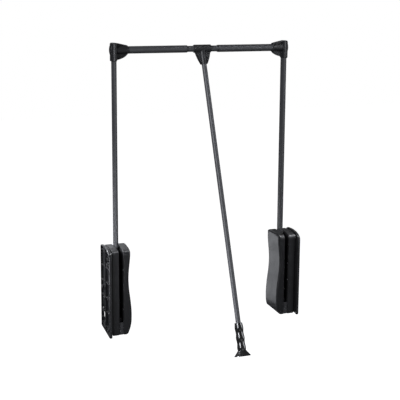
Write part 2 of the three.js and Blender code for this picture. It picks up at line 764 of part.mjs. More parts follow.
function armTube() {
  const section = withHole(oval(armThickness / 2, armDepth / 2),
    oval(armThickness / 2 - armWall, armDepth / 2 - armWall));
  return alongZ(section, armFoot, railHeight + armRiseInConnector, tubeSteps);
}

// Outline of the connector's web, between the cap, the rail socket's mouth and the quarter round below
function webOutline(inset) {
  const capSide = armThickness / 2;
  const mouth = socketReach - socketRimWidth / 2 - inset;
  const low = -capFoot + inset;
  const shape = new THREE.Shape();
  shape.moveTo(capSide + inset, low + capRound);
  shape.quadraticCurveTo(mouth - webBellySetback, low + webBellyRise, mouth, -socketRadius + inset);
  shape.lineTo(mouth, socketRadius - inset);
  shape.lineTo(capSide + flangeShoulderReach, flangeShoulder - inset);
  shape.lineTo(capSide + inset, flangeShoulder - inset);
  shape.closePath();
  return shape;
}

// Corner connector: an upright oval cap for the arm and a round socket for the rail, joined by a flanged web
function cornerConnector() {
  const capHalf = (armThickness + capWall + capInnerWall) / 2;
  const capMiddle = (capInnerWall - capWall) / 2;
  const capHalfDepth = armDepth / 2 + capDepthWall;
  const capRing = (z, inset) => {
    const section = new THREE.EllipseCurve(capMiddle, 0, capHalf - inset, capHalfDepth - inset);
    return section.getPoints(2 * tubeSteps).slice(1).map((point) => new THREE.Vector3(point.x, point.y, z));
  };
  const cap = loft([capRing(-capFoot, capRound / 2), capRing(-capFoot + capRound, 0),
    capRing(capTop - capRound, 0), capRing(capTop - capRound / 3, capRound / 3), capRing(capTop, capRound)]);
  const socket = turnedX([[0, 0], [socketRadius, 0], [socketRadius, socketReach - socketRimWidth],
    [socketRimRadius, socketReach - socketRimWidth], [socketRimRadius, socketReach - capRound / 3],
    [socketRadius, socketReach], [0, socketReach]], 2 * tubeSteps);
  const flange = alongY(webOutline(0), -flangeThickness / 2, flangeThickness / 2, edgeSteps);
  const pocket = webOutline(flangeRim);
  const bossRadius = (bossHalfHeight ** 2 + bossProud ** 2) / (2 * bossProud);
  const bossX = capMiddle - capHalf;
  const boss = new THREE.Shape();
  const bossAngle = Math.asin(bossHalfHeight / bossRadius);
  boss.absarc(bossX - bossProud + bossRadius, 0, bossRadius, Math.PI - bossAngle, Math.PI + bossAngle, false);
  boss.lineTo(capMiddle, -bossHalfHeight);
  boss.lineTo(capMiddle, bossHalfHeight);
  let body = union([flange]);
  body = cut(body, [alongY(pocket, webThickness / 2, flangeThickness, edgeSteps),
    alongY(pocket, -flangeThickness, -webThickness / 2, edgeSteps)]);
  body = body.add(union([cap, socket, alongY(boss, -bossDepth / 2, bossDepth / 2, edgeSteps)]));
  const openings = [
    alongZ(oval(armThickness / 2 + seatGap, armDepth / 2 + seatGap), -capFoot - overrun,
      armRiseInConnector + seatGap, tubeSteps),
    alongX(disc(outerRailRadius + seatGap), railSeat - seatGap, socketReach + overrun, tubeSteps),
  ];
  connectorScrewHeights().forEach((z) => {
    const face = bossX - bossProud;
    openings.push(alongX(disc(connectorScrewRadius + seatGap, 0, z), face - overrun, -armThickness / 2));
    openings.push(alongX(disc(connectorScrewHeadRadius + seatGap, 0, z), face - overrun,
      face + connectorScrewSink + connectorScrewHeadHeight));
  });
  const flute = capFlutePitch / 2;
  const fluteY = capHalfDepth * Math.sqrt(1 - (flute / capHalf) ** 2);
  [[-flute, -fluteY], [flute, -fluteY], [-flute, fluteY], [flute, fluteY]].forEach(([x, y]) => {
    openings.push(alongZ(disc(capFluteRadius, capMiddle + x, y), -capFoot - overrun, capFluteTop));
  });
  return surfaceOf(cut(body, openings));
}

function connectorScrewHeights() {
  return [-connectorScrewPitch / 2, connectorScrewPitch / 2];
}

function connectorScrews() {
  const face = -armThickness / 2 - capWall - bossProud + connectorScrewSink;
  return connectorScrewHeights().map((z) => turnedX([[0, face], [connectorScrewHeadRadius - seatGap, face],
    [connectorScrewHeadRadius, face + connectorScrewHeadHeight / 2],
    [connectorScrewHeadRadius, face + connectorScrewHeadHeight - seatGap],
    [connectorScrewRadius, face + connectorScrewHeadHeight - seatGap],
    [connectorScrewRadius, -armThickness / 2 - seatGap],
    [0, -armThickness / 2 - seatGap]], screwSides)
    .translate(0, 0, z));
}

function roundTube(radius, wall, from, to) {
  return alongX(withHole(disc(radius), disc(radius - wall)), from, to, tubeSteps);
}

// Rail bush: a liner in the mouth of an outer tube, drawn with its lip at zero and its liner along +X
function railBush() {
  const bore = innerRailRadius + slideGap;
  const liner = outerRailRadius - outerRailWall - slideGap;
  return turnedX([[bore, -bushLip], [outerRailRadius - bushLipTaper, -bushLip], [outerRailRadius, 0],
    [liner, 0], [liner, bushLength], [bore, bushLength], [bore, -bushLip]], 2 * tubeSteps);
}

// Tee leg's outline beside the pull rod
function legOutline(inset) {
  const shape = new THREE.Shape();
  shape.moveTo(-legShoulderHalf + inset, -legShoulder - inset);
  shape.quadraticCurveTo(-legBelly + inset, -legBellyDrop, -legFootHalf + inset, -legFoot + inset);
  shape.lineTo(legFootHalf - inset, -legFoot + inset);
  shape.quadraticCurveTo(legBelly - inset, -legBellyDrop, legShoulderHalf - inset, -legShoulder - inset);
  shape.closePath();
  return shape;
}

// Tee connector: a sleeve that turns on the inner rail tube, and a flanged leg that holds the pull rod
function teeConnector() {
  const half = teeLength / 2;
  const sleeve = turnedX([[0, -half], [teeRadius - teeChamfer, -half], [teeRadius, -half + teeChamfer],
    [teeRadius, half - teeChamfer], [teeRadius - teeChamfer, half], [0, half]], 2 * tubeSteps);
  const leg = alongY(legOutline(0), -legFlange / 2, legFlange / 2, edgeSteps);
  const pocket = legOutline(legRim);
  let body = cut(solid(leg), [alongY(pocket, legWeb / 2, legFlange, edgeSteps),
    alongY(pocket, -legFlange, -legWeb / 2, edgeSteps)]);
  const socket = turnedZ([[0, -legFoot], [legFootHalf, -legFoot], [legSocketRadius, -legBellyDrop],
    [legSocketRadius, 0], [0, 0]], 2 * tubeSteps);
  body = body.add(union([sleeve, socket]));
  return surfaceOf(cut(body, [
    alongX(disc(innerRailRadius + seatGap), -half - overrun, half + overrun, tubeSteps),
    alongZ(disc(pullRodRadius + seatGap), -legFoot - overrun, -pullRodTop + seatGap, tubeSteps),
    alongY(disc(teeScrewRadius + seatGap, 0, -teeScrewDrop), 0, legSocketRadius + overrun),
  ]));
}

function teeScrew() {
  const head = legSocketRadius + seatGap;
  const tip = pullRodRadius + seatGap;
  return turnedZ([[0, tip], [teeScrewRadius, tip], [teeScrewRadius, head], [teeScrewHeadRadius, head],
    [teeScrewRadius, head + teeScrewHeadHeight], [0, head + teeScrewHeadHeight]], screwSides)
    .rotateX(-Math.PI / 2).translate(0, 0, -teeScrewDrop);
}

function pullRod() {
  return alongZ(withHole(disc(pullRodRadius), disc(pullRodRadius - armWall)),
    -gripStart - gripBore + seatGap, -pullRodTop, tubeSteps);
}

// Grip: lobed finger swells over a foot that flares to a thin disc
function grip() {
  const levels = [[0, gripFootRadius - gripFootRim / 2, 0], [gripFootRim / 2, gripFootRadius, 0],
    [gripFootRim, gripFootRadius - gripFootRim / 2, 0]];
  for (let step = 1; step <= gripFlareSteps; step += 1) {
    const up = step / gripFlareSteps;
    const flare = (gripFootRadius - gripFootRim - gripWaistRadius) * (1 - up) ** 3;
    levels.push([gripFootRim + up * (gripFlare - gripFootRim), gripWaistRadius + flare, 0]);
  }
  for (let step = 1; step <= gripSwells * gripSwellSteps; step += 1) {
    const swell = Math.sin(Math.PI * step / gripSwellSteps) ** 2;
    const radius = gripWaistRadius + (gripSwellRadius - gripWaistRadius) * swell;
    levels.push([gripFlare + step * gripPitch / gripSwellSteps, radius, swell]);
  }
  const rings = levels.map(([height, radius, swell]) => {
    const ring = [];
    const z = height - gripStart - gripLength;
    for (let side = 0; side < gripSides; side += 1) {
      const angle = 2 * Math.PI * side / gripSides;
      const reach = radius - gripLobe * swell * (1 - Math.cos(gripLobes * angle)) / 2;
      ring.push(new THREE.Vector3(reach * Math.cos(angle), reach * Math.sin(angle), z));
    }
    return ring;
  });
  return surfaceOf(cut(solid(loft(rings)), [
    alongZ(disc(pullRodRadius + seatGap), -gripStart - gripBore, -gripStart + overrun, tubeSteps),
  ]));
}

// The lift, put together body by body

const lift = new THREE.Group();

function add(name, geometry, finish, place = [0, 0, 0], parent = lift) {
  const mesh = new THREE.Mesh(geometry, new THREE.MeshStandardMaterial(finish));
  mesh.name = name;
  mesh.position.set(place[0], place[1], place[2]);
  parent.add(mesh);
}

function addPair(name, geometry, finish, place = [0, 0, 0]) {
  add(`left_${name}`, geometry, finish, place);
  add(`right_${name}`, mirrored(geometry), finish, [overallWidth - place[0], place[1], place[2]]);
}

function addPairs(name, geometries, finish, place = [0, 0, 0]) {
  geometries.forEach((geometry, i) => addPair(`${name}_${i + 1}`, geometry, finish, place));
}

// Housings, screwed to the wardrobe's walls
addPair('wall_plate', wallPlate(), blackPlastic);
addPair('outer_shell', outerShell(), blackPlastic);
addPair('chassis', chassis(), darkSheet);
addPair('inner_cover', innerCover(), blackPlastic);
addPair('stop_block', stopBlock(), stopRubber);
addPair('pivot_pin', pivotPin(), brightSteel);
addPairs('chassis_screw', chassisScrews(), brightSteel);
addPairs('chassis_rivet', chassisRivets(), brightSteel);
addPair('return_spring', returnSpring(), brightSteel);
addPair('damper_cylinder', damperCylinder(), glossPlastic);
addPair('damper_nut', damperNut(), brightSteel);

// What the cranks pull down inside the housings
addPair('draw_rod', drawRod(), brightSteel);
addPair('spring_seat', springSeat(), brightSteel);
addPair('damper_rod', damperRod(), brightSteel);

// Arms, with the corner connectors and the outer rail tubes
const corner = [armCentre, 0, railHeight];
addPair('arm_lever', armLever(), coatedCasting);
addPair('crank_pin', crankPin(), brightSteel);
addPair('arm_tube', armTube(), paintedTube, [armCentre, 0, 0]);
addPair('corner_connector', cornerConnector(), glossPlastic, corner);
addPairs('connector_screw', connectorScrews(), blackSteel, corner);
const leftMouth = teeX - railExposure;
const rightMouth = teeX + railExposure;
const railAtHeight = [0, 0, railHeight];
const railEnd = armCentre + railSeat;
add('left_rail_tube', roundTube(outerRailRadius, outerRailWall, railEnd, leftMouth),
  paintedTube, railAtHeight);
add('right_rail_tube', roundTube(outerRailRadius, outerRailWall, rightMouth, overallWidth - railEnd),
  paintedTube, railAtHeight);
add('left_rail_bush', mirrored(railBush()), blackPlastic, [leftMouth + seatGap, 0, railHeight]);
add('right_rail_bush', railBush(), blackPlastic, [rightMouth - seatGap, 0, railHeight]);

// Middle of the rail
add('inner_rail_tube', roundTube(innerRailRadius, innerRailWall, teeX - innerRailHalf, teeX + innerRailHalf),
  paintedTube, railAtHeight);

// Pull rod, which turns on the inner tube
const pull = new THREE.Group();
pull.position.set(teeX, 0, railHeight);
pull.rotation.x = -restTilt;
lift.add(pull);
add('tee_connector', teeConnector(), glossPlastic, [0, 0, 0], pull);
add('tee_screw', teeScrew(), blackSteel, [0, 0, 0], pull);
add('pull_rod', pullRod(), paintedTube, [0, 0, 0], pull);
add('pull_grip', grip(), glossPlastic, [0, 0, 0], pull);

export default lift;
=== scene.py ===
import math

import bmesh
import bpy
from mathutils import Matrix, Vector


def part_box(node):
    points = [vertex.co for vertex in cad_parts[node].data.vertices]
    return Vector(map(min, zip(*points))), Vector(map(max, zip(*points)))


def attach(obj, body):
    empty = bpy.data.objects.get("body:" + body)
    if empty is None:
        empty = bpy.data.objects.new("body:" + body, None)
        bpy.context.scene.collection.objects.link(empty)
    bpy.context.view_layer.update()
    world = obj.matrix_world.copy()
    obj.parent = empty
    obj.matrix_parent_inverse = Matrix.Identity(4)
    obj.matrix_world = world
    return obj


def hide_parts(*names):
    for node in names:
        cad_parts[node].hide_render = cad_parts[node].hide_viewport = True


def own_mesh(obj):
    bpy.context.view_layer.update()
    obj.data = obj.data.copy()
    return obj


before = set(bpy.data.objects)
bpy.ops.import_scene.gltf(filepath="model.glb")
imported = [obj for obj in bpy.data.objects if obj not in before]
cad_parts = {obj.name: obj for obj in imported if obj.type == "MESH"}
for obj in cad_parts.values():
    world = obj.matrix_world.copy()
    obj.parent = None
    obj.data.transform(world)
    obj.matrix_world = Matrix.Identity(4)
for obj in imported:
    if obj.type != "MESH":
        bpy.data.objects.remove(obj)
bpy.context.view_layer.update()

# Camera
# It stands where the photograph was taken from, in front of the lift and to its left, a little above its
# middle and looking slightly down. The long lens keeps the two arms almost parallel.
camera_place = Vector((-0.872, -2.7024, 0.8848))
camera_yaw = math.radians(23.41)
camera_pitch = math.radians(11.354)
camera_roll = math.radians(0.358)
eye = bpy.data.cameras.new("eye")
eye.lens = 93.3
eye.sensor_width = 36.0
camera = bpy.data.objects.new("camera", eye)
turn_aside = Matrix.Rotation(-camera_yaw, 4, "Z")
look_down = Matrix.Rotation(math.pi / 2 - camera_pitch, 4, "X")
level = Matrix.Rotation(camera_roll, 4, "Z")
camera.matrix_world = Matrix.Translation(camera_place) @ turn_aside @ look_down @ level
bpy.context.collection.objects.link(camera)
bpy.context.scene.camera = camera

# Wall plates
# Each housing is closed on its outer side by a moulded tray of black nylon. Its rim and a lattice of ribs lie
# on the wardrobe's wall, and bosses take three wood screws and the three screws that hold the chassis.
wall_to_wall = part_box("right_wall_plate")[1].x
across = Matrix(((-1, 0, 0, wall_to_wall), (0, 1, 0, 0), (0, 0, 1, 0), (0, 0, 0, 1)))
plate_front = 0.059
plate_foot = 0.072
plate_foot_rise = 0.0195
plate_top = 0.185
plate_corner = 0.004
plate_top_corner = 0.009
housing_back = 0.0178
top_bend_share = 0.38
plate_crest = (0.014, 0.003, 0.5)  # the top's fall to the front, its bulge and its slope at the shoulder
plate_rim = 0.0025
plate_chamfer = 0.0014
plate_floor = 0.006
root_sink = 0.0005
rib_half = 0.0009
rib_draft = 0.0003
rib_end_gap = 0.001
lattice_levels = (-0.043, 0.0, 0.043, 0.086, 0.129, 0.172)
top_rib_front = -0.050
lattice_upright = -0.024
upright_foot = -0.0595
upright_top = 0.1815
wall_hole_places = ((-0.042, 0.155), (-0.042, -0.050), (0.009, 0.064))
wall_hole = 0.0026
wall_hole_depth = 0.0095
wall_hole_mouth = 0.0034
wall_boss = 0.006
chassis_screw_places = ((-0.009, 0.035), (-0.009, -0.038), (-0.038, 0.138))
screw_head_hole = 0.0039
screw_head_seat = 0.0057
screw_shank_hole = 0.0023
screw_shank_hole_end = 0.033
screw_boss_radius = 0.0061
pivot_boss_radius = 0.007
standoff_radius = 0.0045
standoff_end = 0.0312
window_centre = (0.007, -0.018)
window_half_width = 0.005
window_half_height = 0.009
overrun = 0.001
sharp_angle = math.radians(38)
grain_patch_scale = 38.0
wear_patch_scale = 90.0
dust_patch_scale = 70.0
dust_slope = 0.35
dust_colour = (0.32, 0.31, 0.29)


def bent(start, bend, end, steps=10):
    """Points of the curve from start to end that leans towards bend, without its start"""
    points = []
    for step in range(1, steps + 1):
        share = step / steps
        points.append(start.lerp(bend, share).lerp(bend.lerp(end, share), share))
    return points


def side_outline(front, foot, top, back, crest):
    """The housing's outline seen from the side, kept inside the wall plate's own by these distances"""
    fall, crown, slope_share = crest
    y_front = front - plate_front
    y_back = housing_back - back
    z_top = plate_top - top
    z_front_top = z_top - fall
    slope = plate_foot_rise / (plate_front + housing_back)

    def on_foot(y):
        return Vector((y, foot - plate_foot + (y + plate_front) * slope))

    bend = Vector((y_front + (y_back - y_front) * top_bend_share, z_top + crown))
    shoulder = Vector((y_front + plate_top_corner, z_front_top + plate_top_corner * slope_share))
    brow = Vector((y_front, z_front_top - plate_top_corner))
    rise = Vector((0, plate_corner))
    points = [on_foot(y_front) + rise]
    points += bent(points[-1], on_foot(y_front), on_foot(y_front + plate_corner))
    points.append(on_foot(y_back - plate_corner))
    points += bent(points[-1], on_foot(y_back), on_foot(y_back) + rise)
    points.append(Vector((y_back, z_top)) - rise)
    points += bent(points[-1], Vector((y_back, z_top)), Vector((y_back - plate_corner, z_top)))
    points += bent(points[-1], bend, shoulder, steps=24)
    points += bent(points[-1], Vector((y_front, z_front_top)), brow)
    return points


def bridge(body, rows):
    """Faces from each row of corners to the next; a row can be one point"""
    for low, high in zip(rows, rows[1:]):
        count = max(len(low), len(high))
        for corner in range(count):
            after = (corner + 1) % count
            face = [low[corner % len(low)], low[after % len(low)],
                    high[after % len(high)], high[corner % len(high)]]
            body.faces.new(list(dict.fromkeys(face)))


def mesh_of(body):
    """The finished mesh, its faces all looking outwards"""
    bmesh.ops.recalc_face_normals(body, faces=body.faces)
    mesh = bpy.data.meshes.new("skin")
    body.to_mesh(mesh)
    body.free()
    return mesh


def skin(rings, loop=False):
    """A skin over rings of points, closed at its two ends or joined into a loop"""
    body = bmesh.new()
    rows = [[body.verts.new(point) for point in ring] for ring in rings]
    bridge(body, rows + rows[:1] if loop else rows)
    for end in (rows[0], rows[-1]):
        if not loop and len(end) > 2:
            body.faces.new(end)
    return mesh_of(body)


def layers_along_x(outline, steps, loop=False):
    """A solid across the wardrobe, from pairs of place and inset, over an outline that takes an inset"""
    return skin([[(x, y, z) for y, z in outline(inset)] for x, inset in steps], loop)


def turned(profile, origin=(0, 0, 0), axis=(1, 0, 0), corners=48, loop=False):
    """A turned solid about an axis through origin, from pairs of radius and place along the axis"""
    turn = Vector((0, 0, 1)).rotation_difference(Vector(axis)).to_matrix().to_4x4()
    place = Matrix.Translation(origin) @ turn
    rings = []
    for radius, along in profile:
        count = corners if radius > 0 else 1
        angles = [2 * math.pi * corner / count for corner in range(count)]
        rings.append([place @ Vector((radius * math.cos(a), radius * math.sin(a), along)) for a in angles])
    return skin(rings, loop)


def cylinder(radius, low, high, **lie):
    """A plain cylinder between two places on its axis, which lies as a turned solid's does"""
    return turned(((0, low), (radius, low), (radius, high), (0, high)), **lie)


def drafted_block(low, high, draft):
    """A block whose sides lean in towards the side of the lower X"""
    (x0, y0, z0), (x1, y1, z1) = low, high
    rings = []
    for x, inset in ((x1, 0), (x0 + draft, draft / 2), (x0, draft)):
        rings.append([(x, y0 + inset, z0 + inset), (x, y1 - inset, z0 + inset),
                      (x, y1 - inset, z1 - inset), (x, y0 + inset, z1 - inset)])
    return skin(rings)


def carved(mesh, added=(), cut=()):
    """The mesh with other solids joined to it, and then others cut from it"""
    whole = bpy.data.objects.new("whole", mesh)
    bpy.context.collection.objects.link(whole)
    tools = []
    for operation, others in (("UNION", added), ("DIFFERENCE", cut)):
        for other in others:
            tool = bpy.data.objects.new("tool", other)
            bpy.context.collection.objects.link(tool)
            tools.append(tool)
            step = whole.modifiers.new(operation.lower(), "BOOLEAN")
            step.operation = operation
            step.solver = "MANIFOLD"
            step.object = tool
    shaped = whole.evaluated_get(bpy.context.evaluated_depsgraph_get())
    result = bpy.data.meshes.new_from_object(shaped)
    for spare in [whole] + tools:
        bpy.data.objects.remove(spare)
    return result


def fit(name, mesh, material, body):
    """One finished piece, on its body and in place of the CAD node of this name"""
    piece = bpy.data.objects.new(f"finished_{name}", mesh)
    bpy.context.collection.objects.link(piece)
    mesh.materials.clear()
    mesh.materials.append(material)
    mesh.shade_smooth()
    mesh.set_sharp_from_angle(angle=sharp_angle)
    even = piece.modifiers.new("even_shading", "WEIGHTED_NORMAL")
    even.keep_sharp = True
    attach(piece, body)
    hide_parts(name)


def fit_pair(name, mesh, material, body):
    """The piece of the left side, and its mirror image on the right"""
    other = mesh.copy()
    other.transform(across)
    other.flip_normals()
    for side, shape in (("left", mesh), ("right", other)):
        fit(f"{side}_{name}", shape, material, f"{side}_{body}")


def effect(name, inputs, outputs):
    """An empty group of shader nodes with these sockets, and its two ends"""
    group = bpy.data.node_groups.new(name, "ShaderNodeTree")
    for label, value in inputs.items():
        kind = "NodeSocketVector" if isinstance(value, tuple) else "NodeSocketFloat"
        socket = group.interface.new_socket(name=label, in_out="INPUT", socket_type=kind)
        socket.default_value = value
    for label in outputs:
        group.interface.new_socket(name=label, in_out="OUTPUT", socket_type="NodeSocketFloat")
    return group, group.nodes.new("NodeGroupInput"), group.nodes.new("NodeGroupOutput")


def wired(tree, kind, group=None, **inputs):
    """A shader node, or a placed group, whose inputs take these values or what other nodes put out"""
    node = tree.nodes.new(f"ShaderNode{kind}")
    if group:
        node.node_tree = group
    for label, value in inputs.items():
        socket = node.inputs[label.replace("_", " ")]
        if isinstance(value, bpy.types.NodeSocket):
            tree.links.new(value, socket)
        else:
            socket.default_value = value
    return node


def product(tree, first, second, kind="Math"):
    """The product of what two nodes put out"""
    node = tree.nodes.new(f"ShaderNode{kind}")
    node.operation = "MULTIPLY"
    tree.links.new(first, node.inputs[0])
    tree.links.new(second, node.inputs[1])
    return node.outputs[0]


def speckled(tree, scale, detail):
    """A random pattern that stays where it is on the piece"""
    place = wired(tree, "TexCoord").outputs["Object"]
    return wired(tree, "TexNoise", Vector=place, Scale=scale, Detail=detail).outputs[0]


def roughened(tree, pattern, limits):
    """A roughness between the group's smoothest and roughest, where the pattern's middle range takes it"""
    spread = wired(tree, "MapRange", Value=pattern, From_Min=0.3, From_Max=0.7,
                   To_Min=limits.outputs["Smoothest"], To_Max=limits.outputs["Roughest"])
    return spread.outputs["Result"]


# The mould's fine grain, with patches that are a little smoother than the rest
grain, grain_in, grain_out = effect(
    "moulded_grain", {"Fineness": 1800.0, "Smoothest": 0.3, "Roughest": 0.45}, ("Height", "Roughness"))
patches = speckled(grain, grain_patch_scale, 4.0)
grain.links.new(speckled(grain, grain_in.outputs["Fineness"], 3.0), grain_out.inputs["Height"])
grain.links.new(roughened(grain, patches, grain_in), grain_out.inputs["Roughness"])

# Where hands and clothes have rubbed an edge, made lighter; on the housings this lighter edge is also a
# painted highlight
rubbed_and_highlit, rubbed_and_highlit_in, rubbed_and_highlit_out = effect("rubbed_and_highlit_edges", {"Start": 0.52, "End": 0.62, "Amount": 0.5}, ("Mask",))
sharpness = wired(rubbed_and_highlit, "NewGeometry").outputs["Pointiness"]
edge = wired(rubbed_and_highlit, "MapRange", Value=sharpness, From_Min=rubbed_and_highlit_in.outputs["Start"],
             From_Max=rubbed_and_highlit_in.outputs["End"])
broken = product(rubbed_and_highlit, edge.outputs["Result"], speckled(rubbed_and_highlit, wear_patch_scale, 6.0))
rubbed_and_highlit.links.new(product(rubbed_and_highlit, broken, rubbed_and_highlit_in.outputs["Amount"]), rubbed_and_highlit_out.inputs["Mask"])

# A thin, patchy film of dust on what faces up
dust, dust_in, dust_out = effect("settled_dust", {"Amount": 0.1, "Patch Size": 60.0}, ("Mask",))
facing = wired(dust, "SeparateXYZ", Vector=wired(dust, "NewGeometry").outputs["Normal"])
upward = wired(dust, "MapRange", Value=facing.outputs["Z"], From_Min=dust_slope)
film = product(dust, upward.outputs["Result"], speckled(dust, dust_in.outputs["Patch Size"], 8.0))
dust.links.new(product(dust, film, dust_in.outputs["Amount"]), dust_out.inputs["Mask"])


def tinted(tree, mask, base, over):
    """A mix from a base colour, or another mix, to a second colour where the mask is"""
    mix = tree.nodes.new("ShaderNodeMix")
    mix.data_type = "RGBA"
    tree.links.new(mask, mix.inputs[0])
    if isinstance(base, tuple):
        mix.inputs[6].default_value = (*base, 1)
    else:
        tree.links.new(base, mix.inputs[6])
    mix.inputs[7].default_value = (*over, 1)
    return mix.outputs[2]


def new_finish(name):
    """A new material, and its tree of nodes"""
    material = bpy.data.materials.new(name)
    material.use_nodes = True
    return material, material.node_tree


def surfaced(tree, colour, surface, relief, strength):
    """Gives the material's shader this colour, and the roughness and the relief of a surface group"""
    shader = tree.nodes["Principled BSDF"]
    tree.links.new(colour, shader.inputs["Base Color"])
    tree.links.new(surface.outputs["Roughness"], shader.inputs["Roughness"])
    bump = wired(tree, "Bump", Strength=strength, Distance=relief, Height=surface.outputs["Height"])
    tree.links.new(bump.outputs["Normal"], shader.inputs["Normal"])


def moulded_plastic(name, colour, edge_wear_and_highlight_colour, roughness, fineness, relief, dust_amount=0.1, edge_wear_and_highlight=0.6):
    """Black moulded plastic: mould grain, edges lightened as wear and as a painted edge highlight, and a film
    of dust
    """
    material, tree = new_finish(name)
    surface = wired(tree, "Group", grain, Fineness=fineness, Smoothest=roughness[0], Roughest=roughness[1])
    edges = wired(tree, "Group", rubbed_and_highlit, Start=0.52, End=0.64, Amount=edge_wear_and_highlight)
    film = wired(tree, "Group", dust, Amount=dust_amount, Patch_Size=dust_patch_scale)
    worn_and_highlit = tinted(tree, edges.outputs["Mask"], colour, edge_wear_and_highlight_colour)
    dusty = tinted(tree, film.outputs["Mask"], worn_and_highlit, dust_colour)
    surfaced(tree, dusty, surface, relief, strength=0.35)
    return material


# The housings' lighter edges are rubbed wear and also a painted highlight along their sharp bevels.
housing_plastic = moulded_plastic(
    "black_housing_plastic", (0.010, 0.0102, 0.0113), edge_wear_and_highlight_colour=(0.10, 0.10, 0.104),
    roughness=(0.30, 0.40), fineness=2200.0, relief=0.000004, edge_wear_and_highlight=0.8)


def plate_outline(inset):
    """The tray's outline, seen from the side"""
    return side_outline(inset, inset, inset, inset, plate_crest)


tray = layers_along_x(plate_outline, (
    (plate_floor, plate_rim), (0.0006, plate_rim - 0.0001), (0.0, plate_rim - 0.0005), (0.0, plate_chamfer),
    (plate_chamfer, 0.0), (0.0068, 0.0), (0.0075, 0.0002), (0.0079, 0.0007), (0.0080, 0.0014)))
root = plate_floor + root_sink
ribs = []
for height in lattice_levels:
    rib_front = top_rib_front if height == lattice_levels[-1] else rib_half - plate_front + rib_end_gap
    ribs.append(drafted_block((0.0, rib_front, height - rib_half),
                              (root, housing_back - rib_end_gap, height + rib_half), rib_draft))
ribs.append(drafted_block((0.0, lattice_upright - rib_half, upright_foot),
                          (root, lattice_upright + rib_half, upright_top), rib_draft))


def boss(y, z, radius, hole):
    """A boss that stands on the tray's floor as high as the rim, with its lip round the hole"""
    return turned(((0, 0.0002), (hole + 0.0005, 0.0), (radius - 0.0005, 0.0), (radius, 0.0006),
                   (radius + 0.0003, root), (0, root)), (0, y, z))


bosses = [turned(((0, 0.0), (pivot_boss_radius - 0.0005, 0.0), (pivot_boss_radius, 0.0005),
                  (pivot_boss_radius + 0.0003, root), (0, root)))]
holes = []
for y, z in wall_hole_places:
    bosses.append(boss(y, z, wall_boss, wall_hole))
    holes.append(turned(((0, -overrun), (wall_hole_mouth, -overrun), (wall_hole, 0.0006),
                         (wall_hole, wall_hole_depth), (0, wall_hole_depth)), (0, y, z)))
standoffs = []
for y, z in chassis_screw_places:
    bosses.append(boss(y, z, screw_boss_radius, screw_head_hole))
    standoffs.append(turned(((0, plate_floor), (0.0052, plate_floor + 0.001), (standoff_radius, 0.012),
                             (standoff_radius, standoff_end), (0, standoff_end)), (0, y, z)))
    holes.append(turned(((0, -overrun), (screw_head_hole, -overrun), (screw_head_hole, screw_head_seat),
                         (screw_shank_hole, screw_head_seat), (screw_shank_hole, screw_shank_hole_end),
                         (0, screw_shank_hole_end)), (0, y, z)))


def window_outline(inset):
    """The upright window below the swing axis, round at its two ends"""
    radius = window_half_width - inset
    straight = window_half_height - window_half_width
    points = []
    for end, first in ((straight, 0), (-straight, math.pi)):
        for step in range(13):
            angle = first + math.pi * step / 12
            points.append((window_centre[0] + radius * math.cos(angle),
                           window_centre[1] + end + radius * math.sin(angle)))
    return points


holes.append(layers_along_x(window_outline,
                            ((0.004, 0.0), (0.0076, 0.0), (0.0082, -0.0006), (0.010, -0.0006))))
fit_pair("wall_plate", carved(tray, ribs + bosses + standoffs, holes), housing_plastic, "housing")

# Outer shells
# The casing between a wall plate and the arm's slot is moulded in the same black nylon, open on both sides.
# A step beside the plate leaves a shadow groove, and the slot side has a round lip.
shell_start = 0.0083
groove_inset = 0.0015
shell_wall = 0.002
slot_outer = 0.0327
slot_inner = 0.0463
rear_window_start = 0.0063
rear_window_end = 0.0153
rear_window_foot = -0.036
rear_window_top = -0.009
casing_front_inset = 0.0102
casing_foot_inset = 0.0006
casing_top_inset = 0.0015
casing_crest = (0.0092, 0.0, 0.3)


def casing_outline(inset):
    """The casings' outline, set back from the tray's"""
    return side_outline(casing_front_inset + inset, casing_foot_inset + inset, casing_top_inset + inset,
                        inset, casing_crest)


shell = layers_along_x(casing_outline, (
    (shell_start, groove_inset + shell_wall), (shell_start, groove_inset + 0.0004),
    (shell_start + 0.0004, groove_inset), (0.0128, groove_inset), (0.0132, groove_inset - 0.0003),
    (0.0134, 0.0006), (0.0137, 0.0002), (0.0142, 0.0), (0.0314, 0.0), (0.0321, 0.0002), (0.0325, 0.0006),
    (slot_outer, 0.0012), (slot_outer, shell_wall), (0.0152, shell_wall),
    (0.0148, groove_inset + shell_wall)), loop=True)
rear_window = drafted_block((rear_window_start, housing_back - 0.0055, rear_window_foot),
                            (rear_window_end, housing_back + 0.002, rear_window_top), 0.0004)
window_rib = drafted_block((0.0155, 0.002, -0.039), (0.017, 0.0163, -0.006), rib_draft)
fit_pair("outer_shell", carved(shell, [window_rib], [rear_window]), housing_plastic, "housing")

# Inner covers
# The casing on the arm slot's other side is moulded with a waisted, S-curved face that looks into the
# wardrobe. Its edges are well rounded, its lower corner is cut back, and its rim lines the slot.
cover_waist = 0.0613
cover_bulge = 0.070
cover_flare = 0.006
cover_round = 0.005
cover_rim_depth = 0.008
cover_face_shares = (
    (-0.05, -0.8), (0, -0.35), (0.031, -0.08), (0.058, 0.2), (0.0856, 0.52), (0.144, 0.89), (0.22, 1),
    (0.29, 0.96), (0.36, 0.78), (0.436, 0.52), (0.52, 0.2), (0.64, 0), (0.74, 0.14), (0.82, 0.4), (0.89, 0.6),
    (0.96, 0.64), (1.05, 0.6))
round_steps = 7
cover_columns = 24
cover_rows = 90


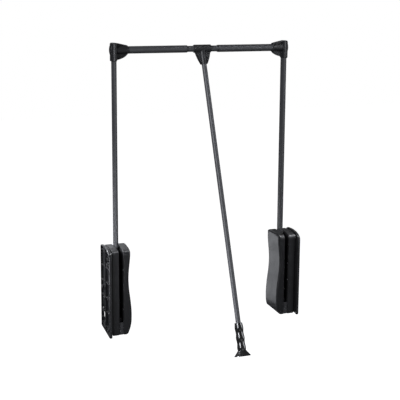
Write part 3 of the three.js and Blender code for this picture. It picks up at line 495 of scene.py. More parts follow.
def cover_reach(z):
    """How far from the wall the cover's face stands at a height, on a smooth curve through the shares"""
    up = (z + plate_foot) / (plate_foot + plate_top)
    span = 0
    while span < len(cover_face_shares) - 2 and cover_face_shares[span + 1][0] < up:
        span += 1
    last = len(cover_face_shares) - 1
    near = [cover_face_shares[min(max(span + k, 0), last)] for k in (-1, 0, 1, 2)]
    (u0, a), (u1, b), (u2, c), (u3, d) = near
    share = (up - u1) / (u2 - u1)
    slope_in = (c - a) / (u2 - u0) * (u2 - u1) if u2 > u0 else 0
    slope_out = (d - b) / (u3 - u1) * (u2 - u1) if u3 > u1 else 0
    out = ((2 * share ** 3 - 3 * share ** 2 + 1) * b + (share ** 3 - 2 * share ** 2 + share) * slope_in
           + (3 * share ** 2 - 2 * share ** 3) * c + (share ** 3 - share ** 2) * slope_out)
    return cover_waist + out * (cover_bulge - cover_waist)


def height_on(chain, y):
    """The height of a chain of outline points at y"""
    for (y0, z0), (y1, z1) in zip(chain, chain[1:]):
        if min(y0, y1) <= y <= max(y0, y1) and y1 != y0:
            return z0 + (z1 - z0) * (y - y0) / (y1 - y0)
    return chain[-1][1]


def from_edge_to_edge(low, high, middle_steps):
    """Places from one edge to the other, close together where the surface rounds over"""
    rounding = [cover_round * (1 - math.cos(math.pi / 2 * step / round_steps)) for step in range(round_steps)]
    inner_low, inner_high = low + cover_round, high - cover_round
    middle = [inner_low + (inner_high - inner_low) * step / middle_steps for step in range(middle_steps + 1)]
    return [low + depth for depth in rounding] + middle + [high - depth for depth in reversed(rounding)]


def inset_loop(points, distance):
    """The loop of points moved inwards, for one that runs anticlockwise"""
    moved = []
    for i, point in enumerate(points):
        before = (point - points[i - 1]).normalized()
        after = (points[(i + 1) % len(points)] - point).normalized()
        inward = Vector((-before.y - after.y, before.x + after.x)).normalized()
        lean = max(0.3, inward.dot(Vector((-after.y, after.x))))
        moved.append(point + inward * distance / lean)
    return moved


casing = casing_outline(0)
back_edge_top = max(range(len(casing)), key=lambda i: (casing[i].x, i))
foot_chain = casing[:back_edge_top + 1]
top_chain = casing[back_edge_top:]
cover_y = from_edge_to_edge(casing[0].x, casing[back_edge_top].x, cover_columns)
face = []
for y in cover_y:
    foot, top = height_on(foot_chain, y), height_on(top_chain, y)
    column = []
    for z in from_edge_to_edge(foot, top, cover_rows):
        inside_y = min(y - cover_y[0], cover_y[-1] - y)
        inside_z = min(z - foot, top - z)
        over = math.hypot(max(0, cover_round - inside_y), max(0, cover_round - inside_z))
        drop = cover_round - math.sqrt(max(0, cover_round ** 2 - over ** 2))
        flare = cover_flare * (y - cover_y[0]) / (cover_y[-1] - cover_y[0])
        column.append(Vector((cover_reach(z) + flare - drop, y, z)))
    face.append(column)
last_column, last_row = len(face) - 1, len(face[0]) - 1
border = [(i, 0) for i in range(last_column)] + [(last_column, j) for j in range(last_row)]
border += [(i, last_row) for i in range(last_column, 0, -1)] + [(0, j) for j in range(last_row, 0, -1)]
border_points = [Vector((face[i][j].y, face[i][j].z)) for i, j in border]
body = bmesh.new()
grid = [[body.verts.new(point) for point in column] for column in face]
for i in range(last_column):
    for j in range(last_row):
        body.faces.new((grid[i][j], grid[i + 1][j], grid[i + 1][j + 1], grid[i][j + 1]))
rows = [[grid[i][j] for i, j in border]]
for x, inset in ((slot_inner + 0.0012, 0.0), (slot_inner + 0.0006, 0.0002), (slot_inner + 0.0002, 0.0006),
                 (slot_inner, 0.0012), (slot_inner, shell_wall), (slot_inner + cover_rim_depth, shell_wall)):
    rows.append([body.verts.new((x, *point)) for point in inset_loop(border_points, inset)])
bridge(body, rows)
body.faces.new(rows[-1])
fit_pair("inner_cover", mesh_of(body), housing_plastic, "housing")

# Chassis and what it carries
# A channel folded from black sheet steel lines the slot and holds the pivot pin, the spring's bracket and the
# damper's hanger. The lever on the pivot is a black coated casting. These pieces keep their CAD solids.
peel_scale = 900.0
streaks, streaks_in, streaks_out = effect(
    "drawn_streaks", {"Along": (1.0, 1.0, 1.0), "Smoothest": 0.3, "Roughest": 0.5},
    ("Mask", "Roughness", "Height"))
place = wired(streaks, "TexCoord").outputs["Object"]
stretched = product(streaks, place, streaks_in.outputs["Along"], kind="VectorMath")
lines = wired(streaks, "TexNoise", Vector=stretched, Scale=1.0, Detail=5.0).outputs[0]
streaks.links.new(lines, streaks_out.inputs["Mask"])
streaks.links.new(roughened(streaks, lines, streaks_in), streaks_out.inputs["Roughness"])
streaks.links.new(speckled(streaks, peel_scale, 2.0), streaks_out.inputs["Height"])


def worked_metal(name, colour, streak_colour, along, roughness, metallic=0.0, relief=0.000008):
    """Drawn, plated or painted metal, with streaks along it and the fine peel of its coat"""
    material, tree = new_finish(name)
    tree.nodes["Principled BSDF"].inputs["Metallic"].default_value = metallic
    surface = wired(tree, "Group", streaks, Along=along, Smoothest=roughness[0], Roughest=roughness[1])
    edges = wired(tree, "Group", rubbed_and_highlit, Start=0.53, End=0.66, Amount=0.7)
    streaked = tinted(tree, surface.outputs["Mask"], colour, streak_colour)
    worn_and_highlit = tinted(tree, edges.outputs["Mask"], streaked, tuple(min(1, 2.2 * c + 0.02) for c in colour))
    surfaced(tree, worn_and_highlit, surface, relief, strength=0.25)
    return material


black_sheet = worked_metal("black_sheet_steel", (0.006, 0.006, 0.0065), streak_colour=(0.009, 0.009, 0.0095),
                           along=(700.0, 700.0, 30.0), roughness=(0.45, 0.6))
black_casting = worked_metal("black_coated_casting", (0.006, 0.006, 0.0065),
                             streak_colour=(0.012, 0.012, 0.0125), along=(250.0, 250.0, 250.0),
                             roughness=(0.5, 0.65), relief=0.00003)
plated_steel = worked_metal("zinc_plated_steel", (0.50, 0.51, 0.53), streak_colour=(0.62, 0.63, 0.65),
                            along=(60.0, 900.0, 900.0), roughness=(0.3, 0.45), metallic=1.0)
bright_rod = worked_metal("bright_drawn_rod", (0.42, 0.43, 0.45), streak_colour=(0.55, 0.56, 0.58),
                          along=(900.0, 900.0, 14.0), roughness=(0.2, 0.34), metallic=1.0)
damper_plastic = moulded_plastic("damper_plastic", (0.02, 0.02, 0.022), edge_wear_and_highlight_colour=(0.07, 0.07, 0.07),
                                 roughness=(0.24, 0.36), fineness=2600.0, relief=0.000006, dust_amount=0.02)
for name, coat in (("chassis", black_sheet), ("arm_lever", black_casting), ("pivot_pin", plated_steel),
                   ("crank_pin", plated_steel), ("draw_rod", bright_rod), ("spring_seat", plated_steel),
                   ("damper_rod", bright_rod), ("damper_nut", plated_steel),
                   ("damper_cylinder", damper_plastic)):
    for side in ("left", "right"):
        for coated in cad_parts[f"{side}_{name}"].material_slots:
            coated.material = coat

# Return springs
# One wire of bright spring steel is wound round each draw rod, between the chassis bracket and the seat on
# the rod's top. Its end turns sit flat, and the seat presses it together as the rod comes down.
spring_centre = Vector((0.020, -0.01955))
spring_foot = 0.0528
spring_length = 0.100
spring_turns = 13
spring_radius = 0.0076
wire_radius = 0.0012
end_pitch = 0.0032
turn_steps = 30
wire_corners = 10
middle_pitch = (spring_length - 2 * wire_radius - 2 * end_pitch) / (spring_turns - 2)
rings = []
for step in range(spring_turns * turn_steps + 1):
    turn = step / turn_steps
    angle = 2 * math.pi * turn
    radial = Vector((math.cos(angle), math.sin(angle), 0))
    height = (min(turn, 1) + max(turn - spring_turns + 1, 0)) * end_pitch
    height += min(max(turn - 1, 0), spring_turns - 2) * middle_pitch
    middle = Vector((*spring_centre, spring_foot + wire_radius + height)) + radial * spring_radius
    ring = []
    for corner in range(wire_corners):
        round_wire = 2 * math.pi * corner / wire_corners
        ring.append(middle + radial * wire_radius * math.cos(round_wire)
                    - Vector((0, 0, wire_radius * math.sin(round_wire))))
    rings.append(ring)
spring_steel = worked_metal("spring_steel", (0.30, 0.30, 0.31), streak_colour=(0.40, 0.40, 0.41),
                            along=(400.0, 400.0, 60.0), roughness=(0.26, 0.38), metallic=1.0)
fit_pair("return_spring", skin(rings), spring_steel, "housing")
for side, x in (("left", spring_centre.x), ("right", wall_to_wall - spring_centre.x)):
    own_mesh(bpy.data.objects[f"finished_{side}_return_spring"])

# Chassis screws and rivets
# Zinc plated pan head screws sink into the wall plate's bosses and run to the chassis. The domed heads of the
# rivets, which hold the chassis sides to the casings, are the small bright dots in the slot.
screw_underside = 0.0054
rivet_y = -0.042
rivet_depth = 0.0056
rivet_shank = 0.0016
rivet_head = 0.003
rivet_rise = 0.0004
sheet_face = 0.0003


def cross_recess(face, depth, size):
    """The cross that a screwdriver fits, narrowing as it goes in, for a head whose face looks along +Z"""
    arms = []
    for long_x, long_y in ((size, size * 0.22), (size * 0.22, size)):
        rings = []
        for z, share in ((face + 0.0005, 1.0), (face - depth, 0.45)):
            a, b = long_x * share, long_y * (0.5 + share / 2)
            if long_y > long_x:
                a, b = long_x * (0.5 + share / 2), long_y * share
            rings.append([Vector((-a, -b, z)), Vector((a, -b, z)), Vector((a, b, z)), Vector((-a, b, z))])
        arms.append(skin(rings))
    return arms


def pan_screw(head_radius, head_height, shank_radius, shank_length):
    """A pan head screw whose head's underside lies at zero and whose shank runs down from it"""
    body = turned(((0, -shank_length), (shank_radius * 0.8, -shank_length),
                   (shank_radius, 0.0006 - shank_length), (shank_radius, 0.0), (head_radius, 0.0),
                   (head_radius, head_height * 0.45), (head_radius * 0.93, head_height * 0.75),
                   (head_radius * 0.75, head_height * 0.94), (0, head_height)), axis=(0, 0, 1), corners=40)
    return carved(body, cut=cross_recess(head_height, head_height * 0.62, head_radius * 0.6))


def turned_to(mesh, origin, axis):
    """A copy of the mesh, its own +Z laid along the axis from origin"""
    copy = mesh.copy()
    turn = Vector((0, 0, 1)).rotation_difference(Vector(axis)).to_matrix().to_4x4()
    copy.transform(Matrix.Translation(origin) @ turn)
    return copy


chassis_screw = pan_screw(head_radius=0.0036, head_height=0.0021, shank_radius=0.002, shank_length=0.0266)
for number, (y, z) in enumerate(chassis_screw_places, 1):
    screw = turned_to(chassis_screw, (screw_underside, y, z), (-1, 0, 0))
    fit_pair(f"chassis_screw_{number}", screw, plated_steel, "housing")
rivet = turned(((0, -rivet_depth), (rivet_shank, -rivet_depth), (rivet_shank, 0.0), (rivet_head, 0.0),
                (0.0029, 0.00012), (0.0023, 0.00026), (0.0014, 0.00036), (0, rivet_rise)),
               axis=(0, 0, 1), corners=40)
rivet_places = ((slot_outer + sheet_face, 0.038, 1), (slot_outer + sheet_face, 0.088, 1),
                (slot_inner - sheet_face, 0.0055, -1), (slot_inner - sheet_face, 0.120, -1))
for number, (x, z, way) in enumerate(rivet_places, 1):
    fit_pair(f"chassis_rivet_{number}", turned_to(rivet, (x, rivet_y, z), (way, 0, 0)), plated_steel,
             "housing")

# Stop blocks
# A block of black rubber closes the foot of each slot, and the arm comes to rest on its sloped top. Three
# shallow grooves run across its front.
block_points = (Vector((-0.0463, -0.0677)), Vector((-0.0278, -0.0630)), Vector((-0.0278, -0.0217)),
                Vector((-0.0340, -0.0230)), Vector((-0.0340, -0.0345)), Vector((-0.0463, -0.0319)))
block_low = 0.033
block_high = 0.046
block_corner = 0.0012
groove_radius = 0.0011
groove_y = -0.0467
groove_heights = (-0.054, -0.045, -0.036)


def rounded_corners(points, radius, steps=5):
    """A polygon's points, with each corner rounded"""
    rounded = []
    for i, point in enumerate(points):
        start = point + (points[i - 1] - point).normalized() * radius
        end = point + (points[(i + 1) % len(points)] - point).normalized() * radius
        rounded += [start] + bent(start, point, end, steps)
    return rounded


block_rings = []
for x, inset in ((block_low, 0.0008), (block_low + 0.0002, 0.0003), (block_low + 0.0007, 0.0),
                 (block_high - 0.0007, 0.0), (block_high - 0.0002, 0.0003), (block_high, 0.0008)):
    outline = inset_loop(rounded_corners(block_points, block_corner), inset)
    block_rings.append([(x, y, z) for y, z in outline])
grooves = [cylinder(groove_radius, block_low - overrun, block_high + overrun, origin=(0, groove_y, z),
                    corners=24) for z in groove_heights]
stop_rubber = moulded_plastic("stop_rubber", (0.030, 0.0304, 0.033), edge_wear_and_highlight_colour=(0.05, 0.05, 0.053),
                              roughness=(0.62, 0.78), fineness=900.0, relief=0.00003, dust_amount=0.2)
fit_pair("stop_block", carved(skin(block_rings), cut=grooves), stop_rubber, "housing")

# Arm tubes
# Flat oval steel tube, sprayed dark grey in a satin paint. Each stands on the lever's spigot at its foot and
# in the corner connector at its top.
arm_x = 0.0395
rail_height = 0.728
tube_half_thickness = 0.006
tube_half_depth = 0.0145
tube_forward = 0.0005
arm_wall = 0.0012
arm_foot = 0.030
arm_top = 0.740
round_corners = 72
tube_colour = (0.034, 0.0345, 0.037)
tube_streak_colour = (0.042, 0.0425, 0.0455)
streaks_up = (500.0, 500.0, 9.0)


def oval(half_a, half_b):
    """Points round an oval"""
    angles = [2 * math.pi * corner / round_corners for corner in range(round_corners)]
    return [(half_a * math.cos(angle), half_b * math.sin(angle)) for angle in angles]


def tube_steps(wall, low, high, lip=0.0003):
    """Pairs of place and inset round a tube's wall, with its two ends eased"""
    return ((low, lip), (low + lip, 0.0), (high - lip, 0.0), (high, lip), (high, wall - lip),
            (high - lip, wall), (low + lip, wall), (low, wall - lip))


def tube_paint(name, painted_light_factor, along, roughness):
    """The satin paint of the tubes, made lighter on the rail and the pull rod as painted light"""
    return worked_metal(name, tuple(painted_light_factor * c for c in tube_colour),
                        tuple(painted_light_factor * c for c in tube_streak_colour), along, roughness)


upright_paint = tube_paint("satin_grey_paint", 1.0, streaks_up, (0.50, 0.60))
arm_rings = []
for z, inset in tube_steps(arm_wall, arm_foot, arm_top):
    section = oval(tube_half_thickness - inset, tube_half_depth - inset)
    arm_rings.append([(arm_x + a, b - tube_forward, z) for a, b in section])
fit_pair("arm_tube", skin(arm_rings, loop=True), upright_paint, "arm")

# Corner connectors
# Glossy black moulding that joins arm and rail: an oval cap with four flutes, a round socket with a rim, and
# a flanged web with a pocket on each side. A lens-shaped boss on the wall side takes the two screws.
corner_place = Matrix.Translation((arm_x, 0, rail_height))
cap_middle = -0.00075
cap_half = 0.0086
cap_half_depth = 0.0176
cap_foot = -0.030
cap_top = 0.020
arm_bore = (0.0062, 0.0147)
arm_bore_top = 0.0123
rail_bore = 0.0105
rail_bore_start = 0.0097
rail_bore_end = 0.041
flute_radius = 0.0013
flute_x = 0.005
flute_top = 0.0145
socket_mouth = 0.039
web_side = 0.0055
web_foot = -0.030
web_shoulder = 0.019
cut_foot = -0.032
screw_heights = (-0.006, 0.006)
boss_face = -0.011
screw_mouth = 0.0034
screw_head_bore = 0.0031
screw_head_floor = boss_face + 0.003
screw_shank_bore = 0.0018
screw_shank_end = -0.0050
screw_sink = 0.0027
boss_half_height = 0.013
boss_bow = 0.0022
cap_rings = []
for z, inset in ((cap_foot, 0.0016), (-0.0298, 0.0009), (-0.0292, 0.0003), (-0.0282, 0.0), (0.0160, 0.0),
                 (0.0175, 0.0004), (0.0187, 0.0012), (0.0195, 0.0024), (0.0199, 0.0038), (cap_top, 0.0055)):
    cap_rings.append([(cap_middle + a, b, z) for a, b in oval(cap_half - inset, cap_half_depth - inset)])
socket = turned(((0, 0), (0.012, 0), (0.012, 0.0328), (0.0119, 0.0331), (0.0115, 0.0334), (0.0114, 0.0345),
                 (0.0115, 0.0350), (0.0125, 0.0353), (0.0128, 0.0357), (0.0128, 0.0380), (0.0126, 0.0386),
                 (0.0120, socket_mouth), (0, socket_mouth)), corners=round_corners)


def web_outline(inset):
    """The web between cap and socket, flat on top and a quarter round below, as X and Z"""
    cap_side = web_side + inset
    mouth = socket_mouth - 0.002 - inset
    low = Vector((cap_side, web_foot + 0.003 + inset))
    bend = Vector((mouth - 0.008, web_foot + 0.0075 + inset))
    points = [low] + bent(low, bend, Vector((mouth, inset - 0.012)), 20)
    points.append(Vector((mouth, 0.012 - inset)))
    points += bent(points[-1], Vector((mouth - 0.001, 0.0135 - inset)),
                   Vector((mouth - 0.004, 0.0138 - inset)), 4)
    points.append(Vector((web_side + 0.004, web_shoulder - inset)))
    points.append(Vector((cap_side, web_shoulder - inset)))
    return points


def layers_along_y(outline, steps):
    """A solid from front to back, from pairs of place and inset, over an outline of X and Z"""
    return skin([[(x, y, z) for x, z in outline(inset)] for y, inset in steps])


def even_layers(outline, steps):
    """A solid that is the same in front and behind, from the steps of its back half"""
    return layers_along_y(outline, [(-y, inset) for y, inset in reversed(steps)] + list(steps))


def pocketed_web(outline, web_steps, pocket_steps):
    """A web over this outline, with the same pocket in its front and its back"""
    pockets = [layers_along_y(outline, [(way * y, inset) for y, inset in pocket_steps]) for way in (-1, 1)]
    return carved(even_layers(outline, web_steps), cut=pockets)


web = pocketed_web(web_outline, ((0.0067, 0.0), (0.0073, 0.0003), (0.0075, 0.0008)),
                   ((0.0038, 0.0038), (0.0039, 0.0032), (0.0043, 0.0029), (0.0080, 0.0026), (0.0100, 0.0026)))


def boss_outline(inset):
    """The lens of the screw boss, as X and Z"""
    half = boss_half_height - inset
    points = []
    for step in range(17):
        share = 2 * step / 16 - 1
        points.append(Vector((boss_face + inset + boss_bow * share ** 2, -half * share)))
    points += [Vector((cap_middle, -half)), Vector((cap_middle, half))]
    return points


screw_boss = even_layers(boss_outline, ((0.0079, 0.0001), (0.0087, 0.0006), (0.009, 0.0014)))
cuts = []
for x in (-flute_x, flute_x):
    fluted_depth = cap_half_depth * math.sqrt(1 - (x / cap_half) ** 2)
    for y in (-fluted_depth, fluted_depth):
        cuts.append(turned(((0, cut_foot), (flute_radius, cut_foot), (flute_radius, flute_top - 0.0011),
                            (0.0011, flute_top - 0.0005), (0.0007, flute_top - 0.0001), (0, flute_top)),
                           (cap_middle + x, y, 0), (0, 0, 1), corners=32))
cuts.append(skin([[(a, b - tube_forward, z) for a, b in oval(*arm_bore)] for z in (cut_foot, arm_bore_top)]))
cuts.append(cylinder(rail_bore, rail_bore_start, rail_bore_end, corners=round_corners))
for z in screw_heights:
    cuts.append(turned(((0, boss_face - overrun), (screw_mouth, boss_face - overrun),
                        (screw_head_bore, boss_face + 0.0004), (screw_head_bore, screw_head_floor),
                        (screw_shank_bore, screw_head_floor), (screw_shank_bore, screw_shank_end),
                        (0, screw_shank_end)), (0, 0, z), corners=40))
connector = carved(web, [skin(cap_rings), socket, screw_boss], cuts)
connector.transform(corner_place)
gloss_plastic = moulded_plastic("gloss_black_plastic", (0.013, 0.0133, 0.0147),
                                edge_wear_and_highlight_colour=(0.05, 0.05, 0.053), roughness=(0.37, 0.46), fineness=1500.0,
                                relief=0.000004, edge_wear_and_highlight=0.25)
fit_pair("corner_connector", connector, gloss_plastic, "arm")
blackened_steel = worked_metal("blackened_steel", (0.010, 0.010, 0.011), streak_colour=(0.02, 0.02, 0.021),
                               along=(300.0, 300.0, 300.0), roughness=(0.3, 0.45), metallic=0.6)
connector_screw = pan_screw(head_radius=0.0028, head_height=0.0016, shank_radius=0.0015, shank_length=0.0020)
for number, z in enumerate(screw_heights, 1):
    screw = turned_to(connector_screw, (boss_face + screw_sink, 0, z), (-1, 0, 0))
    screw.transform(corner_place)
    fit_pair(f"connector_screw_{number}", screw, blackened_steel, "arm")

# Rail tubes and bushes
# The hanging rail is three round steel tubes in the same satin paint, painted lighter as painted light. The
# two outer ones slide on the inner one, and a black nylon bush lines the mouth of each, with a small lip
# outside.
tee_x = 0.3015
rail_end = 0.0495
left_mouth = tee_x - 0.0492
right_mouth = 2 * tee_x - left_mouth
outer_rail_radius = 0.0102
outer_rail_wall = 0.0008
inner_rail_radius = 0.0084
inner_rail_wall = 0.0012
inner_rail_half = 0.2042
bush_gap = 0.0003
bush_lip = 0.0025
# The rail's paint is 1.3 times lighter than the uprights' as painted light.
rail_paint_painted_lighter = tube_paint("satin_grey_rail_paint_painted_lighter", 1.3, (9.0, 500.0, 500.0), (0.40, 0.50))


def rail_tube(radius, wall, low, high, lip):
    """A round tube along the rail's axis"""
    profile = [(radius - inset, along) for along, inset in tube_steps(wall, low, high, lip)]
    return turned(profile, (0, 0, rail_height), corners=round_corners, loop=True)


for side, low, high in (("left", rail_end, left_mouth), ("right", right_mouth, wall_to_wall - rail_end)):
    fit(f"{side}_rail_tube", rail_tube(outer_rail_radius, outer_rail_wall, low, high, 0.0002), rail_paint_painted_lighter,
        f"{side}_arm")
inner_tube = rail_tube(inner_rail_radius, inner_rail_wall, tee_x - inner_rail_half,
                       tee_x + inner_rail_half, 0.0003)
fit("inner_rail_tube", inner_tube, rail_paint_painted_lighter, "rail_centre")
bush_profile = ((0.0086, 0.0003), (0.0088, 0.0), (0.0092, -0.0004), (0.0094, -0.0002), (0.0099, 0.0006),
                (0.0102, 0.0016), (0.0102, bush_lip), (0.0092, bush_lip), (0.0092, 0.0170), (0.0090, 0.0175),
                (0.0086, 0.0175))
for side, mouth, way in (("left", left_mouth + bush_gap + bush_lip, -1),
                         ("right", right_mouth - bush_gap - bush_lip, 1)):
    bush = turned(bush_profile, (mouth, 0, rail_height), (way, 0, 0), round_corners, loop=True)
    fit(f"{side}_rail_bush", bush, housing_plastic, f"{side}_arm")

# Tee connector
# Glossy black moulding that turns on the inner rail tube: a sleeve, and a leg that narrows to the pull rod's
# socket between two flanged webs with pockets. One screw at the back keeps the rod in.
rest_tilt = math.radians(19.65)
pull_place = Matrix.Translation((tee_x, 0, rail_height)) @ Matrix.Rotation(-rest_tilt, 4, "X")
tee_bore = 0.0087
tee_bore_half = 0.028
leg_foot = -0.045
rod_bore = 0.0073
rod_bore_foot = -0.047
rod_bore_top = -0.0127
tee_screw_height = -0.032
tee_screw_hole = 0.0019
tee_screw_underside = 0.0095
sleeve_end = ((0, 0.026), (0.0096, 0.026), (0.0106, 0.0257), (0.0112, 0.0250), (0.0115, 0.0240))
sleeve = turned([(r, -x) for r, x in sleeve_end] + list(reversed(sleeve_end)), corners=round_corners)


def leg_outline(inset):
    """The tee's leg, from the sleeve down to the rod, as X and Z"""
    points = []
    for way in (-1, 1):
        shoulder = Vector((way * (0.0225 - inset), -0.008 - inset))
        belly = Vector((way * (0.0175 - inset), -0.030))
        foot = Vector((way * (0.0088 - inset), inset + leg_foot))
        side = [shoulder] + bent(shoulder, belly, foot, 16)
        points += side if way < 0 else list(reversed(side))
    return points


leg = pocketed_web(leg_outline, ((0.0052, 0.0), (0.0058, 0.0003), (0.006, 0.0008)),
                   ((0.0032, 0.0034), (0.0034, 0.0028), (0.0038, 0.0025), (0.0064, 0.0023), (0.0080, 0.0023)))
rod_socket = turned(((0, leg_foot), (0.0083, leg_foot), (0.0087, -0.0447), (0.0088, -0.0440),
                     (0.0092, -0.030), (0.0092, 0), (0, 0)), axis=(0, 0, 1), corners=round_corners)
tee_cuts = [cylinder(tee_bore, -tee_bore_half, tee_bore_half, corners=round_corners),
            cylinder(rod_bore, rod_bore_foot, rod_bore_top, axis=(0, 0, 1), corners=round_corners),
            cylinder(tee_screw_hole, 0.001, 0.011, origin=(0, 0, tee_screw_height), axis=(0, 1, 0),
                     corners=32)]


def fit_leaning(name, mesh, material):
    """A piece that swings with the pull rod, laid along the rod's lean at rest"""
    mesh.transform(pull_place)
    fit(name, mesh, material, "pull_rod_assembly")


fit_leaning("tee_connector", carved(leg, [sleeve, rod_socket], tee_cuts), gloss_plastic)
tee_screw = pan_screw(head_radius=0.003, head_height=0.0018, shank_radius=0.0016, shank_length=0.0022)
fit_leaning("tee_screw", turned_to(tee_screw, (0, tee_screw_underside, tee_screw_height), (0, 1, 0)),
            blackened_steel)

# Pull rod
# Round steel tube in the same satin paint, painted lighter as painted light, from the tee down to the grip.
# It leans towards the front at rest.
rod_radius = 0.007
rod_wall = 0.0012
rod_top = -0.013
rod_foot = -0.8347
rod_profile = [(rod_radius - inset, along) for along, inset in tube_steps(rod_wall, rod_foot, rod_top)]
rod = turned(rod_profile, axis=(0, 0, 1), corners=round_corners, loop=True)
# The rod's paint is 1.6 times lighter than the uprights' as painted light.
rod_paint_painted_lighter = tube_paint("satin_grey_rod_paint_painted_lighter", 1.6, streaks_up, (0.38, 0.48))
fit_leaning("pull_rod", rod, rod_paint_painted_lighter)

# Grip
# Very glossy black moulding pushed onto the pull rod: three lobed swells for the fingers over a foot that
# flares like a thin cup. The rod reaches well into its bore.
grip_top = -0.773
grip_pitch = 0.025
grip_swells = 3
grip_flare = 0.016
grip_waist = 0.0108
grip_swell = 0.0126
grip_lobe = 0.0006
grip_lobes = 6
grip_foot_radius = 0.023
grip_bore = 0.0073
grip_bore_depth = 0.062
grip_corners = 96
grip_steps = 18
grip_last_share = 0.927
flare_steps = 14
flare_bend = 1.1
foot_edge = 0.0014
grip_foot = grip_top - grip_swells * grip_pitch - grip_flare


def grip_ring(radius, height, lobe=0.0):
    """Points round the grip, drawn in between its lobes"""
    points = []
    for corner in range(grip_corners):
        angle = 2 * math.pi * corner / grip_corners
        reach = radius - grip_lobe * lobe * (1 - math.cos(grip_lobes * angle)) / 2
        points.append((reach * math.cos(angle), reach * math.sin(angle), height))
    return points


grip_rings = [grip_ring(grip_bore, grip_top - grip_bore_depth), grip_ring(grip_bore, grip_top - 0.0003),
              grip_ring(grip_bore + 0.0003, grip_top), grip_ring(grip_waist - 0.0004, grip_top)]
for step in range(grip_swells * grip_steps + 1):
    swell = math.sin(math.pi * step * grip_last_share / grip_steps) ** 2
    grip_neck = grip_waist + (grip_swell - grip_waist) * swell
    height = grip_top - 0.0003 - step * (grip_pitch - 0.0001) / grip_steps
    grip_rings.append(grip_ring(grip_neck, height, swell))
for step in range(1, flare_steps + 1):
    down = step / flare_steps
    flare = (grip_foot_radius - 0.0002 - grip_neck) * down ** flare_bend
    height = grip_foot + foot_edge + (grip_flare - foot_edge) * (1 - down)
    grip_rings.append(grip_ring(grip_neck + flare, height))
for inset, height in ((0.0, 0.0008), (0.0003, 0.0002), (0.0010, 0.0), (0.0019, 0.0004), (0.004, 0.0016),
                      (0.008, 0.0030), (0.013, 0.0040), (0.018, 0.0044)):
    grip_rings.append(grip_ring(grip_foot_radius - inset, grip_foot + height))
polished_plastic = moulded_plastic("polished_black_plastic", (0.0035, 0.0035, 0.004),
                                   edge_wear_and_highlight_colour=(0.012, 0.012, 0.013), roughness=(0.20, 0.27),
                                   fineness=1200.0, relief=0.000002, dust_amount=0.03)
polished_shader = polished_plastic.node_tree.nodes["Principled BSDF"]
polished_shader.inputs["Specular IOR Level"].default_value = 1.0
polished_shader.inputs["Coat Weight"].default_value = 1.0
polished_shader.inputs["Coat Roughness"].default_value = 0.12
fit_leaning("pull_grip", skin(grip_rings), polished_plastic)

# Floor and light
# A plain pale studio floor lies well below the lift, which hangs on the wardrobe's walls. Large soft lamps
# stand on its left and right, weak ones behind it and below, and small ones pick out single edges and faces.
# Floor and backdrop are white to the camera but light nothing, and a weak even light fills the shadows.
floor_height = -1.2
floor_half = 14.0
fill_strength = 0.06
floor_corners = [(-floor_half, -floor_half, floor_height), (floor_half, -floor_half, floor_height),
                 (floor_half, floor_half, floor_height), (-floor_half, floor_half, floor_height)]
floor_mesh = bpy.data.meshes.new("floor")
floor_mesh.from_pydata(floor_corners, [], [(0, 1, 2, 3)])
floor = bpy.data.objects.new("floor", floor_mesh)
bpy.context.collection.objects.link(floor)
pale, pale_tree = new_finish("pale_floor")
pale_shader = pale_tree.nodes["Principled BSDF"]
pale_shader.inputs["Base Color"].default_value = (0.8, 0.8, 0.8, 1)
pale_shader.inputs["Roughness"].default_value = 0.9
pale_shader.inputs["Emission Color"].default_value = (1, 1, 1, 1)
looked_at = wired(pale_tree, "LightPath").outputs["Is Camera Ray"]
pale_tree.links.new(looked_at, pale_shader.inputs["Emission Strength"])
floor_mesh.materials.append(pale)
floor.visible_diffuse = False
floor.visible_glossy = False

world = bpy.data.worlds.new("studio")
world.use_nodes = True
bpy.context.scene.world = world
studio = world.node_tree
backdrop = studio.nodes["Background"]
backdrop.inputs["Color"].default_value = (1, 1, 1, 1)
backdrop.inputs["Strength"].default_value = 1.0
fill = wired(studio, "Background", Color=(0.95, 0.97, 1, 1), Strength=fill_strength)
choice = studio.nodes.new("ShaderNodeMixShader")
studio.links.new(wired(studio, "LightPath").outputs["Is Camera Ray"], choice.inputs[0])
studio.links.new(fill.outputs[0], choice.inputs[1])
studio.links.new(backdrop.outputs[0], choice.inputs[2])
studio.links.new(choice.outputs[0], studio.nodes["World Output"].inputs[0])
bpy.context.scene.view_settings.view_transform = "Standard"

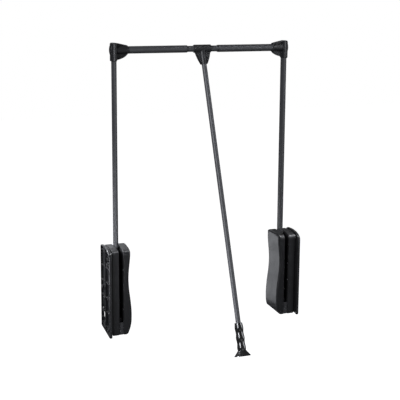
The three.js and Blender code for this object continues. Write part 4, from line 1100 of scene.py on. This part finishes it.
lift_middle = Vector((0.3, 0.0, 0.35))
left_crest = Vector((0.033, -0.05, 0.175))
right_crest = Vector((wall_to_wall - 0.033, -0.05, 0.175))
left_edge = Vector((0.0, -0.055, 0.13))
left_top = Vector((0.0, -0.01, 0.185))
left_arc = Vector((0.0, -0.03, 0.178))
right_socket = Vector((wall_to_wall - 0.062, -0.01, rail_height + 0.005))
right_face = Vector((0.534, -0.01, 0.05))
lamp_colour = (0.95, 0.97, 1.02)


def lamp(name, azimuth, elevation, distance, size, watts, aim=lift_middle, spread=180):
    """A soft lamp that looks at its aim, its azimuth counted from the front towards the right"""
    light = bpy.data.lights.new(name, "AREA")
    light.shape = "RECTANGLE"
    light.size, light.size_y = size
    light.energy = watts
    light.color = lamp_colour
    light.spread = math.radians(spread)
    holder = bpy.data.objects.new(name, light)
    holder.visible_camera = False
    a, e = math.radians(azimuth), math.radians(elevation)
    way = Vector((math.sin(a) * math.cos(e), -math.cos(a) * math.cos(e), math.sin(e)))
    holder.location = aim + way * distance
    holder.rotation_euler = way.to_track_quat("Z", "Y").to_euler()
    bpy.context.collection.objects.link(holder)


lamp("left_lamp", -58, 22, 2.8, size=(0.8, 2.2), watts=66)
lamp("right_lamp", 50, 14, 2.8, size=(1.2, 2.0), watts=26)
lamp("back_lamp", 172, 34, 3.0, size=(1.2, 2.0), watts=7)
lamp("low_lamp", 8, -17, 2.0, size=(1.0, 0.6), watts=1.2)
lamp("left_top_lamp", 161, 14, 1.0, size=(0.3, 0.3), watts=0.001, aim=left_top, spread=9)
lamp("left_crest_lamp", 63, 64, 1.2, size=(0.2, 0.2), watts=0.05, aim=left_crest, spread=16)
lamp("right_crest_lamp", 63, 58, 1.2, size=(0.2, 0.2), watts=0.10, aim=right_crest, spread=16)
lamp("edge_lamp", -71, -10, 1.0, size=(0.2, 0.2), watts=0.03, aim=left_edge, spread=14)
lamp("arc_lamp", -112, 35, 1.0, size=(0.5, 0.3), watts=1.3, aim=left_arc, spread=24)
lamp("socket_lamp", 34, 41, 1.2, size=(0.4, 0.4), watts=0.06, aim=right_socket, spread=14)
lamp("cover_lamp", -152, -11, 1.0, size=(0.5, 0.5), watts=0.17, aim=right_face, spread=40)
